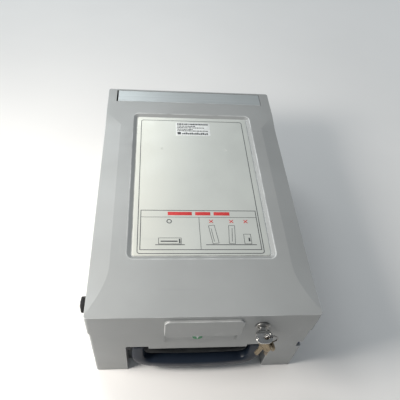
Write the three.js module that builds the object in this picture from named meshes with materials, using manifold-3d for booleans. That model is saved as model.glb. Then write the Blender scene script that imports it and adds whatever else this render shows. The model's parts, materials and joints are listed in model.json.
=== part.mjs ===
// Banknote cassette of a cash machine: lower case, hinged lid, shutter, drop handle, lock
// with its keys, note pusher and the pick, feed, pinch and stacker shafts inside.
// Millimetres. +X right, +Y towards the note slot, +Z up. The handle is at -Y.
// Origin: centre of the underside.
import * as THREE from 'three';
import { mergeVertices } from 'three/addons/utils/BufferGeometryUtils.js';
import Module from 'manifold-3d';

const wasm = await Module();
wasm.setup();

// ---------------------------------------------------------------- driving dimensions
const WIDTH = 240;
const LENGTH = 368;
const HEIGHT = 140;
const GAP = 0.3;              // left between pieces that touch
const BIG = 400;              // longer than anything it cuts

const CASE_INSET = 1;         // lid skirt overhangs the case by this much
const CASE_WALL = 3;
const CORNER_R = 3;           // vertical corners
const PART_Z = 103;           // top edge of the case
const LID_WALL = 2.5;
const CEILING_Z = 134.5;      // underside of the lid's top skin

// Long facets beside the flat top: straight part, diagonal at the rear, flare at the front.
const FACET = { x: 99, slope: 0.162, rearY0: 104, rearY1: 132, flareY0: -125, flareY1: -182 };
const FLARE_POWER = 1.7;
const RECESS = { x0: -82, x1: 84, y0: -116, y1: 129, depth: 3.2, slope: 5.2, corner: 8 };
const TAB = { half: 41, z0: 99, z1: 133, proud: 2.5, corner: 6 };
const SCOOP = { x0: -40, x1: 38, z0: 75, depth: 1.5, ramp: 6 };
const DISC = { x: -4.5, z: 87.5, r: 5.5, y0: -182.2, y1: -181.1 };

const WELL = { half: 82, z: 66, lipZ: 60, lipX0: -57, lipX1: 54, depth: 15 };
const GRIP = { z0: 14, z1: 31, back: -175.5, front: -186, belly: 2.5, droop: 3 };
const ARM = { x0: -77, x1: 73, width: 15, bossR: 6, pivotY: -176.5, pivotZ: 56 };

const HINGE = { y: 180, z: 100.5, r: 3.2, pinR: 1.5, notchY: 174, caseZ: 96, lidZ: 105 };
const KNUCKLES = { ends: [[-117, -90], [-30, 30], [90, 117]], lid: [[-89, -31], [31, 89]] };
const SLOT = { x0: -108, x1: 106.3, y0: 155, y1: 181.5 };
const FLAP = { x0: -105.8, x1: 105.8, y0: 155.8, y1: 180.7, thick: 2.3, hingeY: 158, hingeZ: 136 };

const LOCK = { x: 61, z: 118, barrelR: 6.5, plugR: 4.2, bezelR: 7.6, bezelY: -186 };
const CAM = { y0: -168.2, y1: -166.2, reach: 20, hubR: 5, tipR: 4 };
const KEEPER = { x0: 72, x1: 87, z0: 86, thick: 2, hookY: -162, hookZ0: 123, hookZ1: 126 };
const BOW = { halfX: 9, y0: -204, y1: -189, thick: 2.2, holeX: 63, holeY: -197, holeR: 2.9 };
const RING = { x: 68, y: -197, z: 112.6, r: 8, wire: 0.8 };
const SPARE_KEY = { holeToEdge: 3.4, halfWidth: 2.6, bitDepth: 1.2, bits: 6, holeR: 2.6 };

const FRAME = { x: 99, thick: 2, y0: -158, y1: 178.5, z1: 96 };
const FRAME_WINDOW = { starts: [-130, -62, 6], length: 52, z0: 34, z1: 82, corner: 6 };
const FLOOR = { z: 20, thick: 2, y0: -160, y1: 124, half: 96.5 };
const ROD = { x: 45, z: 11, r: 3, y0: -155.5, y1: 113.5 };
const PULLEY = { frontY: -157, rearY: 118, z: 11, r: 4.7, flangeR: 6.9, half: 6 };
const BELT = { inner: 5, thick: 1.2, half: 3 };
const PUSHER = { y: -132, thick: 4, half: 93, z0: 23, z1: 93 };
const CARRIAGE = { half: 52, y0: -148, y1: -124, z0: 7.2, z1: 14.8 };
const ARM_X = 45;             // pusher arms, above the guide rods

const TOOTH = 1.5;            // gear module
const MESH_PLAY = 0.2;        // added to each pair's centre distance
const TEETH = { pick: 18, stacker: 18, feed: 14, drive: 16 };
const GEAR_X = { x0: -107.5, x1: -101.5 };
const SHAFT_R = 4;
const DRIVE_AXLE_R = 3;
const PICK = { y: 140, z: 70, rollerR: 14 };
const FEED_ANGLE = THREE.MathUtils.degToRad(35);
const STACKER_ANGLE = THREE.MathUtils.degToRad(-86);
const DRIVE_ANGLE = THREE.MathUtils.degToRad(-10);
const FEED_ROLLER_R = 9.5;
const PINCH = { y: 174.3, z: 88, shaftR: 2.5, rollerR: 5 };
const WHEEL = { y: -144, z: 92, r: 9, hubR: 2.5, inner: 122.5, outer: 131 };
const BOLT = { x0: 104, x1: 121, y0: -179.6, y1: -167.6, z0: 57.5, z1: 69.5 };
const BOARD = { x: 108, thick: 1.6, y0: 40, y1: 150, z0: 20, z1: 85 };
const CHIP = { corners: [[60, 40], [95, 55], [125, 35]], long: 14, wide: 10, proud: 2.4 };
const PLUG = { x0: 52, x1: 90, y0: 172, z0: 15, z1: 29 };
const DRIVE_WINDOW = { x0: -111, x1: -99.5, z0: 24, z1: 53 };
const GROOVE = { z0: 30, z1: 38, depth: 1.2 };

// ---------------------------------------------------------------- materials
function finish(color, roughness, metalness) {
  return new THREE.MeshStandardMaterial({ color, roughness, metalness });
}
const PAINT = {
  shell: finish(0xb2b6b4, 0.5, 0.05),
  label: finish(0xd2d5cd, 0.35, 0.6),
  shutter: finish(0xc3c8c8, 0.35, 0.5),
  navy: finish(0x212a38, 0.45, 0),
  charcoal: finish(0x3c4247, 0.8, 0),
  black: finish(0x17181a, 0.6, 0),
  blue: finish(0x27386b, 0.45, 0),
  green: finish(0x1c8a4a, 0.5, 0),
  chrome: finish(0xd9dadb, 0.15, 1),
  brass: finish(0xb19a6c, 0.35, 0.9),
  steel: finish(0xa9adb0, 0.35, 0.9),
  rubber: finish(0x2b2c2e, 0.9, 0),
  ivory: finish(0xe2ddcc, 0.5, 0),
  board: finish(0x1f6a45, 0.6, 0.1),
};

// ---------------------------------------------------------------- solids
function toSolid(geometry) {
  const bare = geometry.clone();
  bare.deleteAttribute('normal');
  bare.deleteAttribute('uv');
  const merged = mergeVertices(bare, 1e-4);
  return new wasm.Manifold(new wasm.Mesh({
    numProp: 3,
    vertProperties: new Float32Array(merged.attributes.position.array),
    triVerts: new Uint32Array(merged.index.array),
  }));
}

function toGeometry(solid) {
  const mesh = solid.getMesh();
  const geometry = new THREE.BufferGeometry();
  geometry.setAttribute('position', new THREE.BufferAttribute(mesh.vertProperties, 3));
  geometry.setIndex(new THREE.BufferAttribute(mesh.triVerts, 1));
  return geometry;
}

function cut(base, ...tools) {
  return toGeometry(tools.reduce((solid, tool) => solid.subtract(toSolid(tool)), toSolid(base)));
}

function join(base, ...others) {
  return toGeometry(others.reduce((solid, other) => solid.add(toSolid(other)), toSolid(base)));
}

function box(x0, x1, y0, y1, z0, z1) {
  const block = new THREE.BoxGeometry(x1 - x0, y1 - y0, z1 - z0);
  return block.translate((x0 + x1) / 2, (y0 + y1) / 2, (z0 + z1) / 2);
}

// A cylinder along X, Y or Z, with its flats the same way round on every piece.
function rod(axis, r, from, to, a, b, sides = 20) {
  const bar = new THREE.CylinderGeometry(r, r, to - from, sides);
  const middle = (from + to) / 2;
  if (axis === 'x') return bar.rotateZ(-Math.PI / 2).translate(middle, a, b);
  if (axis === 'y') return bar.translate(a, middle, b);
  return bar.rotateX(Math.PI / 2).translate(a, b, middle);
}

// The same along X, with the ends in either order, for pieces mirrored about the centre line.
function rodTo(r, xa, xb, y, z, sides = 20) {
  return rod('x', r, Math.min(xa, xb), Math.max(xa, xb), y, z, sides);
}

function boxTo(xa, xb, y0, y1, z0, z1) {
  return box(Math.min(xa, xb), Math.max(xa, xb), y0, y1, z0, z1);
}

function sleeve(axis, r, bore, from, to, a, b, sides = 20) {
  return cut(rod(axis, r, from, to, a, b, sides), rod(axis, bore, from - 1, to + 1, a, b, sides));
}

// A rectangle with round corners in its own plane.
function roundedShape(x0, x1, y0, y1, r) {
  const shape = new THREE.Shape();
  shape.absarc(x1 - r, y1 - r, r, 0, Math.PI / 2);
  shape.absarc(x0 + r, y1 - r, r, Math.PI / 2, Math.PI);
  shape.absarc(x0 + r, y0 + r, r, Math.PI, 1.5 * Math.PI);
  shape.absarc(x1 - r, y0 + r, r, 1.5 * Math.PI, 2 * Math.PI);
  return shape;
}

function extrude(shape, depth, curveSegments = 4) {
  return new THREE.ExtrudeGeometry(shape, { depth, bevelEnabled: false, curveSegments });
}

// Extrusions of a drawing in the XY, XZ or YZ plane, between two planes.
function slab(shape, z0, z1, curveSegments) {
  return extrude(shape, z1 - z0, curveSegments).translate(0, 0, z0);
}

function slabXZ(shape, y0, y1, curveSegments) {
  return extrude(shape, y1 - y0, curveSegments).rotateX(Math.PI / 2).translate(0, y1, 0);
}

function slabYZ(shape, x0, x1, curveSegments) {
  const solid = extrude(shape, x1 - x0, curveSegments);
  return solid.rotateX(Math.PI / 2).rotateZ(Math.PI / 2).translate(x0, 0, 0);
}

function polygon(points) {
  return new THREE.Shape(points.map(([x, y]) => new THREE.Vector2(x, y)));
}

// Skins a row of sections, each with the same number of points, and caps both ends.
function loft(sections) {
  const count = sections[0].length;
  const index = [];
  for (let s = 0; s + 1 < sections.length; s += 1) {
    for (let i = 0; i < count; i += 1) {
      const a = s * count + i;
      const b = s * count + ((i + 1) % count);
      index.push(a, b, a + count, b, b + count, a + count);
    }
  }
  const last = (sections.length - 1) * count;
  for (let i = 1; i + 1 < count; i += 1) {
    index.push(0, i + 1, i);
    index.push(last, last + i, last + i + 1);
  }
  const geometry = new THREE.BufferGeometry();
  geometry.setAttribute('position', new THREE.Float32BufferAttribute(sections.flat(2), 3));
  geometry.setIndex(index);
  return geometry;
}

// ---------------------------------------------------------------- scene graph
const cassette = new THREE.Group();

function add(name, geometry, material, parent = cassette) {
  const mesh = new THREE.Mesh(geometry, material);
  mesh.name = name;
  parent.add(mesh);
  return mesh;
}

// ---------------------------------------------------------------- lower case
function buildLowerCase() {
  const hx = WIDTH / 2 - CASE_INSET;
  const hy = LENGTH / 2 - CASE_INSET;
  const inX = hx - CASE_WALL;
  const inY = hy - CASE_WALL;
  const wellBack = -LENGTH / 2 + WELL.depth + 1;
  const outer = slab(roundedShape(-hx, hx, -hy, hy, CORNER_R), 0, PART_Z);
  const cavity = slab(roundedShape(-inX, inX, -inY, inY, 1), CASE_WALL, PART_Z + 1);
  const wellBlock = box(-WELL.half - 3, WELL.half + 3, -hy + 1, wellBack + 2.5, 0.5, WELL.z + 3);
  const rodBlocks = [];
  for (const x of [-ROD.x, ROD.x]) {
    for (const y of [ROD.y0 - 0.5, ROD.y1 - 5.5]) {
      rodBlocks.push(box(x - 5, x + 5, y, y + 6, 2, ROD.z + 5));
    }
  }
  const boardPosts = [];
  for (const y of [BOARD.y0 + 8, BOARD.y1 - 8]) {
    for (const z of [BOARD.z0 + 8, BOARD.z1 - 8]) {
      boardPosts.push(rod('x', 3, BOARD.x + BOARD.thick + GAP, inX + 1, y, z, 12));
    }
  }
  const body = join(cut(outer, cavity), wellBlock, ...rodBlocks, ...boardPosts);

  const tools = [
    box(-WELL.half, WELL.half, -BIG, wellBack, -1, WELL.lipZ),
    box(-WELL.half, WELL.lipX0, -BIG, wellBack, 0, WELL.z),
    box(WELL.lipX1, WELL.half, -BIG, wellBack, 0, WELL.z),
    box(-BIG, BIG, HINGE.notchY, BIG, HINGE.caseZ, BIG),
    rod('y', DISC.r + GAP, -hy - 1, DISC.y1 + GAP, DISC.x, DISC.z),
    rod('x', 2.6, -WELL.half - 4, -WELL.half + 1, ARM.pivotY, ARM.pivotZ),
    rod('x', 2.6, WELL.half - 1, WELL.half + 4, ARM.pivotY, ARM.pivotZ),
    box(DRIVE_WINDOW.x0, DRIVE_WINDOW.x1, inY - 1, BIG, DRIVE_WINDOW.z0, DRIVE_WINDOW.z1),
    box(PLUG.x0 - GAP, PLUG.x1 + GAP, inY - 1, BIG, PLUG.z0 - GAP, PLUG.z1 + GAP),
    box(112.5, BIG, -BIG, BOLT.y1 + GAP, BOLT.z0 - GAP, BOLT.z1 + GAP),
  ];
  for (const x of [-ROD.x, ROD.x]) {
    tools.push(rod('y', ROD.r + GAP, -157, 115, x, ROD.z));
  }
  for (const side of [-1, 1]) {
    tools.push(boxTo(side * (hx - GROOVE.depth), side * (hx + 1), -BIG, BIG, GROOVE.z0, GROOVE.z1));
    tools.push(rodTo(WHEEL.hubR + GAP, side * 115, side * 125, WHEEL.y, WHEEL.z));
  }
  return cut(cut(body, ...tools), scoopCutter(-hy));
}

// The hollow under the lift tab: flat inside, with a ramp at its lower end.
function scoopCutter(faceY) {
  const profile = polygon([
    [faceY - 1, SCOOP.z0 - SCOOP.ramp / 2],
    [faceY + SCOOP.depth, SCOOP.z0 + SCOOP.ramp],
    [faceY + SCOOP.depth, PART_Z + 1],
    [faceY - 1, PART_Z + 1],
  ]);
  return slabYZ(profile, SCOOP.x0, SCOOP.x1);
}

// One of the case's knuckles of the long rear hinge, on the top edge of the rear wall.
function caseKnuckle([x0, x1]) {
  const web = box(x0, x1, HINGE.y, HINGE.y + CASE_WALL, HINGE.caseZ - 4, HINGE.z);
  return join(rod('x', HINGE.r, x0, x1, HINGE.y, HINGE.z), web);
}

function withKnuckles(body, knuckles) {
  const bore = rod('x', HINGE.pinR + GAP, -BIG, BIG, HINGE.y, HINGE.z, 16);
  return cut(join(body, ...knuckles), bore);
}

// ---------------------------------------------------------------- lid
// Distance from the centre line to a facet's inner edge, by place along the lid. It runs
// straight between a diagonal at the rear and a flare that reaches the front corner.
function facetEdge(y) {
  const { x, rearY0, rearY1, flareY0, flareY1 } = FACET;
  const outX = WIDTH / 2 + 1;
  const diagonal = Math.max(0, (y - rearY0) / (rearY1 - rearY0));
  const flare = THREE.MathUtils.clamp((flareY0 - y) / (flareY0 - flareY1), 0, 1);
  return Math.min(outX, x + (outX - x) * (diagonal + flare ** FLARE_POWER));
}

function facetCutter(side) {
  const outX = WIDTH / 2 + 2;
  const { flareY0, flareY1, rearY0, rearY1 } = FACET;
  const stations = [-LENGTH / 2];
  const flareSteps = 7;
  for (let i = 0; i <= flareSteps; i += 1) {
    stations.push(flareY1 + (flareY0 - flareY1) * (i / flareSteps));
  }
  stations.push(rearY0, rearY1);
  const sections = stations.map((y) => {
    const inner = facetEdge(y);
    const low = HEIGHT - FACET.slope * (outX - inner);
    const corners = [[inner, HEIGHT], [outX, low], [outX, HEIGHT + 2], [inner, HEIGHT + 2]];
    const ordered = side > 0 ? corners.reverse() : corners;
    return ordered.map(([x, z]) => [side * x, y, z]);
  });
  return loft(sections);
}

function recessCutter() {
  const rings = [
    { inset: RECESS.slope, z: HEIGHT - RECESS.depth },
    { inset: 0, z: HEIGHT },
    { inset: -2, z: HEIGHT + 1 },
  ];
  const sections = rings.map(({ inset, z }) => {
    const r = RECESS.corner - Math.max(0, inset);
    const outline = roundedShape(RECESS.x0 + inset, RECESS.x1 - inset,
      RECESS.y0 + inset, RECESS.y1 - inset, r);
    return outline.getPoints(5).slice(0, -1).map((p) => [p.x, p.y, z]);
  });
  return loft(sections);
}

function buildLid() {
  const hx = WIDTH / 2;
  const hy = LENGTH / 2;
  const lowZ = PART_Z + GAP;
  const outer = slab(roundedShape(-hx, hx, -hy, hy, CORNER_R), lowZ, HEIGHT);
  const cavity = slab(
    roundedShape(-hx + LID_WALL, hx - LID_WALL, -hy + LID_WALL, hy - LID_WALL, 1),
    lowZ - 1, CEILING_Z);
  const tab = slabXZ(
    roundedShape(-TAB.half, TAB.half, TAB.z0, TAB.z1, TAB.corner), -hy - TAB.proud, -hy + 0.5);
  const boss = rod('y', LOCK.barrelR + 3, -hy + 1, -hy + 7, LOCK.x, LOCK.z);
  const pinBosses = [
    box(SLOT.x0 - 6, SLOT.x0 + 0.01, 154, 162, 131, CEILING_Z + 1),
    box(SLOT.x1 - 0.01, SLOT.x1 + 6, 154, 162, 131, CEILING_Z + 1),
  ];
  const body = join(cut(outer, cavity), tab, boss, ...pinBosses);
  const opened = cut(body,
    facetCutter(-1), facetCutter(1), recessCutter(),
    box(SLOT.x0, SLOT.x1, SLOT.y0, SLOT.y1, CEILING_Z - 6, HEIGHT + 1),
    box(-BIG, BIG, HINGE.notchY, BIG, 0, HINGE.lidZ),
    rod('y', LOCK.barrelR + GAP, -BIG, -hy + 8, LOCK.x, LOCK.z),
    rod('x', 1.3, SLOT.x0 - 4, SLOT.x1 + 4, FLAP.hingeY, FLAP.hingeZ, 12));
  const knuckles = KNUCKLES.lid.map(([x0, x1]) => join(
    rod('x', HINGE.r, x0, x1, HINGE.y, HINGE.z),
    box(x0, x1, HINGE.y + 1, HINGE.y + HINGE.r, HINGE.z, HINGE.lidZ + 1),
    box(x0, x1, HINGE.y + 1.5, hy, HINGE.lidZ - 1.5, HINGE.lidZ + 1)));
  return withKnuckles(opened, knuckles);
}

function buildLabelPlate() {
  const margin = RECESS.slope + 0.5;
  const outline = roundedShape(RECESS.x0 + margin, RECESS.x1 - margin,
    RECESS.y0 + margin, RECESS.y1 - margin, 3);
  const z = HEIGHT - RECESS.depth + GAP;
  return slab(outline, z, z + 0.8);
}

function buildShutter() {
  const plate = box(FLAP.x0, FLAP.x1, FLAP.y0, FLAP.y1, HEIGHT - 0.1 - FLAP.thick, HEIGHT - 0.1);
  const barrel = rod('x', 2.2, FLAP.x0, FLAP.x1, FLAP.hingeY, FLAP.hingeZ, 16);
  const rib = box(FLAP.x0 + 8, FLAP.x1 - 8, FLAP.y1 - 5, FLAP.y1 - 3, 134.5, HEIGHT - 1);
  const bore = rod('x', 1.3, -BIG, BIG, FLAP.hingeY, FLAP.hingeZ, 12);
  return cut(join(plate, barrel, rib), bore);
}

// ---------------------------------------------------------------- handle
// A bail seen from the front: two arms and a grip whose lower edge sags to the middle.
function buildHandle() {
  const middle = (ARM.x0 + ARM.x1) / 2;
  const steps = 12;
  const sections = [];
  for (let i = 0; i <= steps; i += 1) {
    const t = (2 * i) / steps - 1;
    const x = middle + t * (ARM.x1 - ARM.x0) / 2;
    const bow = 1 - t * t;
    const end = Math.max(0, Math.abs(t) - 0.75) / 0.25;
    const low = GRIP.z0 + GRIP.droop * (1 - bow) + 8 * end ** 2;
    const front = GRIP.front - GRIP.belly * bow;
    sections.push(gripSection(front, GRIP.back, low, GRIP.z1).map(([y, z]) => [x, y, z]));
  }
  const grip = loft(sections);
  const arms = [];
  for (const x0 of [ARM.x0, ARM.x1 - ARM.width]) {
    const side = new THREE.Shape();
    side.absarc(ARM.pivotY, ARM.pivotZ, ARM.bossR, 0, Math.PI);
    side.lineTo(GRIP.front + 1, GRIP.z1 + 4);
    side.lineTo(GRIP.front, GRIP.z1 - 7);
    side.lineTo(GRIP.back, GRIP.z1 - 7);
    arms.push(slabYZ(side, x0, x0 + ARM.width, 12));
  }
  const bore = rod('x', 2.6, -BIG, BIG, ARM.pivotY, ARM.pivotZ);
  return cut(join(grip, ...arms), bore);
}

function gripSection(front, back, low, high) {
  const r = 4;
  const outline = roundedShape(front, back, low, high, r);
  return outline.getPoints(2).slice(0, -1).map((p) => [p.x, p.y]);
}

function buildHandlePin(side) {
  const armEnd = side < 0 ? ARM.x0 + ARM.width + 1 : ARM.x1 - ARM.width - 1;
  const collarIn = side < 0 ? ARM.x0 - GAP : ARM.x1 + GAP;
  return join(
    rodTo(2.3, armEnd, side * (WELL.half + 2.5), ARM.pivotY, ARM.pivotZ),
    rodTo(4.5, collarIn, side * (WELL.half - GAP), ARM.pivotY, ARM.pivotZ));
}

function buildHandlePanel() {
  const back = -LENGTH / 2 + WELL.depth + 1 - GAP;
  const front = back - 1.4;
  const half = WELL.half - GAP;
  const panel = box(-half, half, front, back, 0.2, WELL.lipZ - GAP);
  const ears = [
    box(-half, WELL.lipX0 - GAP, front, back, 0.2, WELL.z - GAP),
    box(WELL.lipX1 + GAP, half, front, back, 0.2, WELL.z - GAP),
  ];
  return join(panel, ...ears);
}

// ---------------------------------------------------------------- lock and keys
function buildLockCylinder() {
  const face = -LENGTH / 2;
  const bezel = rod('y', LOCK.bezelR, LOCK.bezelY, face - GAP, LOCK.x, LOCK.z, 32);
  const barrel = rod('y', LOCK.barrelR, face - 1, face + 14, LOCK.x, LOCK.z, 32);
  const bore = rod('y', LOCK.plugR + GAP, -BIG, BIG, LOCK.x, LOCK.z, 32);
  return cut(join(bezel, barrel), bore);
}

function buildLockPlug() {
  const face = LOCK.bezelY + 0.2;
  const shoulder = CAM.y0 - GAP;
  const plug = rod('y', LOCK.plugR, face, shoulder, LOCK.x, LOCK.z, 32);
  const keyway = box(LOCK.x - 3, LOCK.x + 3, face - 1, shoulder - 3, LOCK.z - 0.9, LOCK.z + 0.9);
  const spigot = rod('y', 2, shoulder - 0.5, CAM.y1 + 0.7, LOCK.x, LOCK.z, 16);
  return join(cut(plug, keyway), spigot);
}

function buildLockCam() {
  const arm = new THREE.Shape();
  arm.absarc(LOCK.x, LOCK.z, CAM.hubR, 0, Math.PI);
  arm.absarc(LOCK.x, LOCK.z - CAM.reach, CAM.tipR, Math.PI, 2 * Math.PI);
  const plate = slabXZ(arm, CAM.y0, CAM.y1, 10);
  return cut(plate, rod('y', 2.3, -BIG, BIG, LOCK.x, LOCK.z, 16));
}

function buildLockKeeper() {
  const { x0, x1, z0, thick, hookY, hookZ0, hookZ1 } = KEEPER;
  const wall = -LENGTH / 2 + CASE_INSET + CASE_WALL + GAP;
  const plate = box(x0, x1, wall, wall + thick, z0, hookZ1);
  const hook = box(x0, x1, wall + 1, hookY, hookZ0, hookZ1);
  return join(plate, hook);
}

function buildLockKey() {
  const bow = roundedShape(LOCK.x - BOW.halfX, LOCK.x + BOW.halfX, BOW.y0, BOW.y1, 6);
  const head = slab(bow, LOCK.z - BOW.thick / 2, LOCK.z + BOW.thick / 2, 6);
  const blade = box(LOCK.x - 2.7, LOCK.x + 2.7, BOW.y1 - 1, -172, LOCK.z - 0.6, LOCK.z + 0.6);
  return cut(join(head, blade), rod('z', BOW.holeR, 0, BIG, BOW.holeX, BOW.holeY));
}

function buildKeyRing() {
  const ring = new THREE.TorusGeometry(RING.r, RING.wire, 6, 28);
  return ring.rotateX(Math.PI / 2).translate(RING.x, RING.y, RING.z);
}

// A flat key hanging from its hole at the origin: bow on top, toothed blade below.
function spareKeyGeometry(bowR, length) {
  const { holeToEdge, halfWidth, bitDepth, bits, holeR } = SPARE_KEY;
  const centre = holeToEdge - bowR;
  const bow = rod('x', bowR, -0.8, 0.8, 0, centre, 24);
  const outline = [[-halfWidth, centre], [-halfWidth, -length], [halfWidth - 1.4, -length]];
  const pitch = (length + centre - bowR) / (bits + 1);
  for (let i = 0; i < bits; i += 1) {
    const z = -length + 1.5 + i * pitch;
    outline.push([halfWidth, z], [halfWidth - bitDepth, z + pitch / 2]);
  }
  outline.push([halfWidth, centre]);
  const blade = slabYZ(polygon(outline), -0.7, 0.7);
  return cut(join(bow, blade), rod('x', holeR, -2, 2, 0, 0, 16));
}

function addSpareKey(name, alongWire, turn, lean, bowR, length, material) {
  const hang = new THREE.Group();
  const drop = Math.sqrt(RING.r ** 2 - alongWire ** 2);
  hang.position.set(RING.x + alongWire, RING.y, RING.z - drop + 1.2);
  hang.rotation.set(0, lean, turn, 'YXZ');
  cassette.add(hang);
  add(name, spareKeyGeometry(bowR, length), material, hang);
}

// ---------------------------------------------------------------- note transport
// Spur gear along X with straight-flanked teeth, one of them at the given angle.
function gear(teeth, y, z, phase, bore) {
  const pitchR = (TOOTH * teeth) / 2;
  const rootR = pitchR - 1.25 * TOOTH;
  const tipR = pitchR + 0.9 * TOOTH;
  const step = (2 * Math.PI) / teeth;
  const rim = [];
  for (let i = 0; i < teeth; i += 1) {
    const at = phase + i * step;
    rim.push([rootR, at - 0.3 * step], [tipR, at - 0.1 * step]);
    rim.push([tipR, at + 0.1 * step], [rootR, at + 0.3 * step]);
  }
  const outline = polygon(rim.map(([r, a]) => [y + r * Math.cos(a), z + r * Math.sin(a)]));
  const blank = slabYZ(outline, GEAR_X.x0, GEAR_X.x1);
  return cut(blank, rod('x', bore, -BIG, BIG, y, z));
}

function centreDistance(teethA, teethB) {
  return (TOOTH * (teethA + teethB)) / 2 + MESH_PLAY;
}

function placeFrom(hub, angle, distance) {
  return { y: hub.y + distance * Math.cos(angle), z: hub.z + distance * Math.sin(angle) };
}

// Phase that puts a gap of gear B where gear A has its tooth on their centre line.
function meshPhase(phaseA, teethA, teethB, angle) {
  const pitchesA = (angle - phaseA) / ((2 * Math.PI) / teethA);
  const offset = pitchesA - Math.floor(pitchesA);
  return angle + Math.PI - (0.5 - offset) * ((2 * Math.PI) / teethB);
}

const stackerAt = placeFrom(PICK, STACKER_ANGLE, centreDistance(TEETH.pick, TEETH.stacker));
const feedAt = placeFrom(PICK, FEED_ANGLE, centreDistance(TEETH.pick, TEETH.feed));
const driveAt = placeFrom(stackerAt, DRIVE_ANGLE, centreDistance(TEETH.stacker, TEETH.drive));

function addGears() {
  const pickPhase = 0;
  const stackerPhase = meshPhase(pickPhase, TEETH.pick, TEETH.stacker, STACKER_ANGLE);
  const feedPhase = meshPhase(pickPhase, TEETH.pick, TEETH.feed, FEED_ANGLE);
  const drivePhase = meshPhase(stackerPhase, TEETH.stacker, TEETH.drive, DRIVE_ANGLE);
  const bore = SHAFT_R + GAP;
  add('pick_gear', gear(TEETH.pick, PICK.y, PICK.z, pickPhase, bore), PAINT.ivory);
  add('stacker_gear', gear(TEETH.stacker, stackerAt.y, stackerAt.z, stackerPhase, bore), PAINT.ivory);
  add('feed_gear', gear(TEETH.feed, feedAt.y, feedAt.z, feedPhase, bore), PAINT.ivory);
  const axleBore = DRIVE_AXLE_R + GAP;
  add('drive_gear', gear(TEETH.drive, driveAt.y, driveAt.z, drivePhase, axleBore), PAINT.ivory);
}

function addRollerSet(name, at, shaftR, from, to, rollers, rollerR, material) {
  add(`${name}_shaft`, rod('x', shaftR, from, to, at.y, at.z), PAINT.steel);
  for (const [suffix, x, width] of rollers) {
    const tyre = sleeve('x', rollerR, shaftR + GAP, x - width / 2, x + width / 2, at.y, at.z);
    add(`${name}_roller_${suffix}`, tyre, material);
  }
}

// A wheel of slanted soft vanes that pats the note stack flat.
function stackerWheel(x) {
  const hubR = 7;
  const tipR = 15.8;
  const vanes = 8;
  const step = (2 * Math.PI) / vanes;
  const rim = [];
  for (let i = 0; i < vanes; i += 1) {
    const at = i * step;
    rim.push([hubR, at], [tipR, at + 0.35 * step], [tipR, at + 0.5 * step], [hubR, at + 0.4 * step]);
  }
  const { y, z } = stackerAt;
  const outline = polygon(rim.map(([r, a]) => [y + r * Math.cos(a), z + r * Math.sin(a)]));
  return cut(slabYZ(outline, x - 4, x + 4), rod('x', SHAFT_R + GAP, -BIG, BIG, y, z));
}

function buildSideFrame(side) {
  const outer = side * FRAME.x;
  const inner = side * (FRAME.x - FRAME.thick);
  const x0 = Math.min(outer, inner) - 1;
  const x1 = Math.max(outer, inner) + 1;
  const plate = boxTo(outer, inner, FRAME.y0, FRAME.y1, CASE_WALL + GAP, FRAME.z1);
  const { starts, length, z0, z1, corner } = FRAME_WINDOW;
  const windows = starts.map((y) => slabYZ(roundedShape(y, y + length, z0, z1, corner), x0, x1, 2));
  const bores = [
    rod('x', SHAFT_R + 2.3, x0, x1, PICK.y, PICK.z),
    rod('x', SHAFT_R + GAP, x0, x1, feedAt.y, feedAt.z),
    rod('x', SHAFT_R + GAP, x0, x1, stackerAt.y, stackerAt.z),
    rod('x', PINCH.shaftR + GAP, x0, x1, PINCH.y, PINCH.z),
  ];
  if (side < 0) bores.push(rod('x', DRIVE_AXLE_R + GAP, x0, x1, driveAt.y, driveAt.z));
  return cut(plate, ...windows, ...bores);
}

function buildBush(side) {
  const a = side * (FRAME.x - FRAME.thick - 1.5);
  const b = side * (FRAME.x + 1.5);
  return sleeve('x', SHAFT_R + 2, SHAFT_R + GAP, Math.min(a, b), Math.max(a, b), PICK.y, PICK.z);
}

function buildNoteFloor() {
  const plate = box(-FLOOR.half, FLOOR.half, FLOOR.y0, FLOOR.y1, FLOOR.z, FLOOR.z + FLOOR.thick);
  const lugs = [];
  const bores = [];
  for (const y of [PULLEY.frontY, PULLEY.rearY]) {
    for (const x of [-10.3, 8.3]) {
      lugs.push(box(x, x + 2, Math.max(y - 5, FLOOR.y0), y + 5, 5, FLOOR.z + 1));
    }
    bores.push(rod('x', 2.3, -12, 12, y, PULLEY.z, 16));
  }
  const slots = [-ARM_X, ARM_X].map((x) => slab(
    roundedShape(x - 5, x + 5, -151, 103, 4), FLOOR.z - 1, FLOOR.z + FLOOR.thick + 1, 2));
  return cut(join(plate, ...lugs), ...slots, ...bores);
}

function buildPulley(y) {
  const { z, r, flangeR, half } = PULLEY;
  return join(
    rod('x', r, -half, half, y, z),
    rod('x', flangeR, -half, -half + 1.5, y, z),
    rod('x', flangeR, half - 1.5, half, y, z),
    rod('x', 2, -11.5, 11.5, y, z, 16));
}

function beltLoop(r) {
  const shape = new THREE.Shape();
  shape.absarc(PULLEY.rearY, PULLEY.z, r, -Math.PI / 2, Math.PI / 2);
  shape.absarc(PULLEY.frontY, PULLEY.z, r, Math.PI / 2, 1.5 * Math.PI);
  return shape;
}

function buildBelt() {
  const outer = slabYZ(beltLoop(BELT.inner + BELT.thick), -BELT.half, BELT.half, 10);
  const inner = slabYZ(beltLoop(BELT.inner), -BELT.half - 1, BELT.half + 1, 10);
  return cut(outer, inner);
}

function buildCarriage() {
  const { half, y0, y1, z0, z1 } = CARRIAGE;
  const block = box(-half, half, y0, y1, z0, z1);
  const arms = [-ARM_X, ARM_X].map((x) => join(
    box(x - 3.5, x + 3.5, PUSHER.y - 9, PUSHER.y - GAP, z1 - 1, 60),
    box(x - 1, x + 1, PUSHER.y - 14, PUSHER.y - 8, z1 - 1, 44)));
  const bores = [-ROD.x, ROD.x].map((x) => rod('y', ROD.r + GAP, -BIG, BIG, x, ROD.z));
  return cut(join(block, ...arms), ...bores);
}

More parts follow.
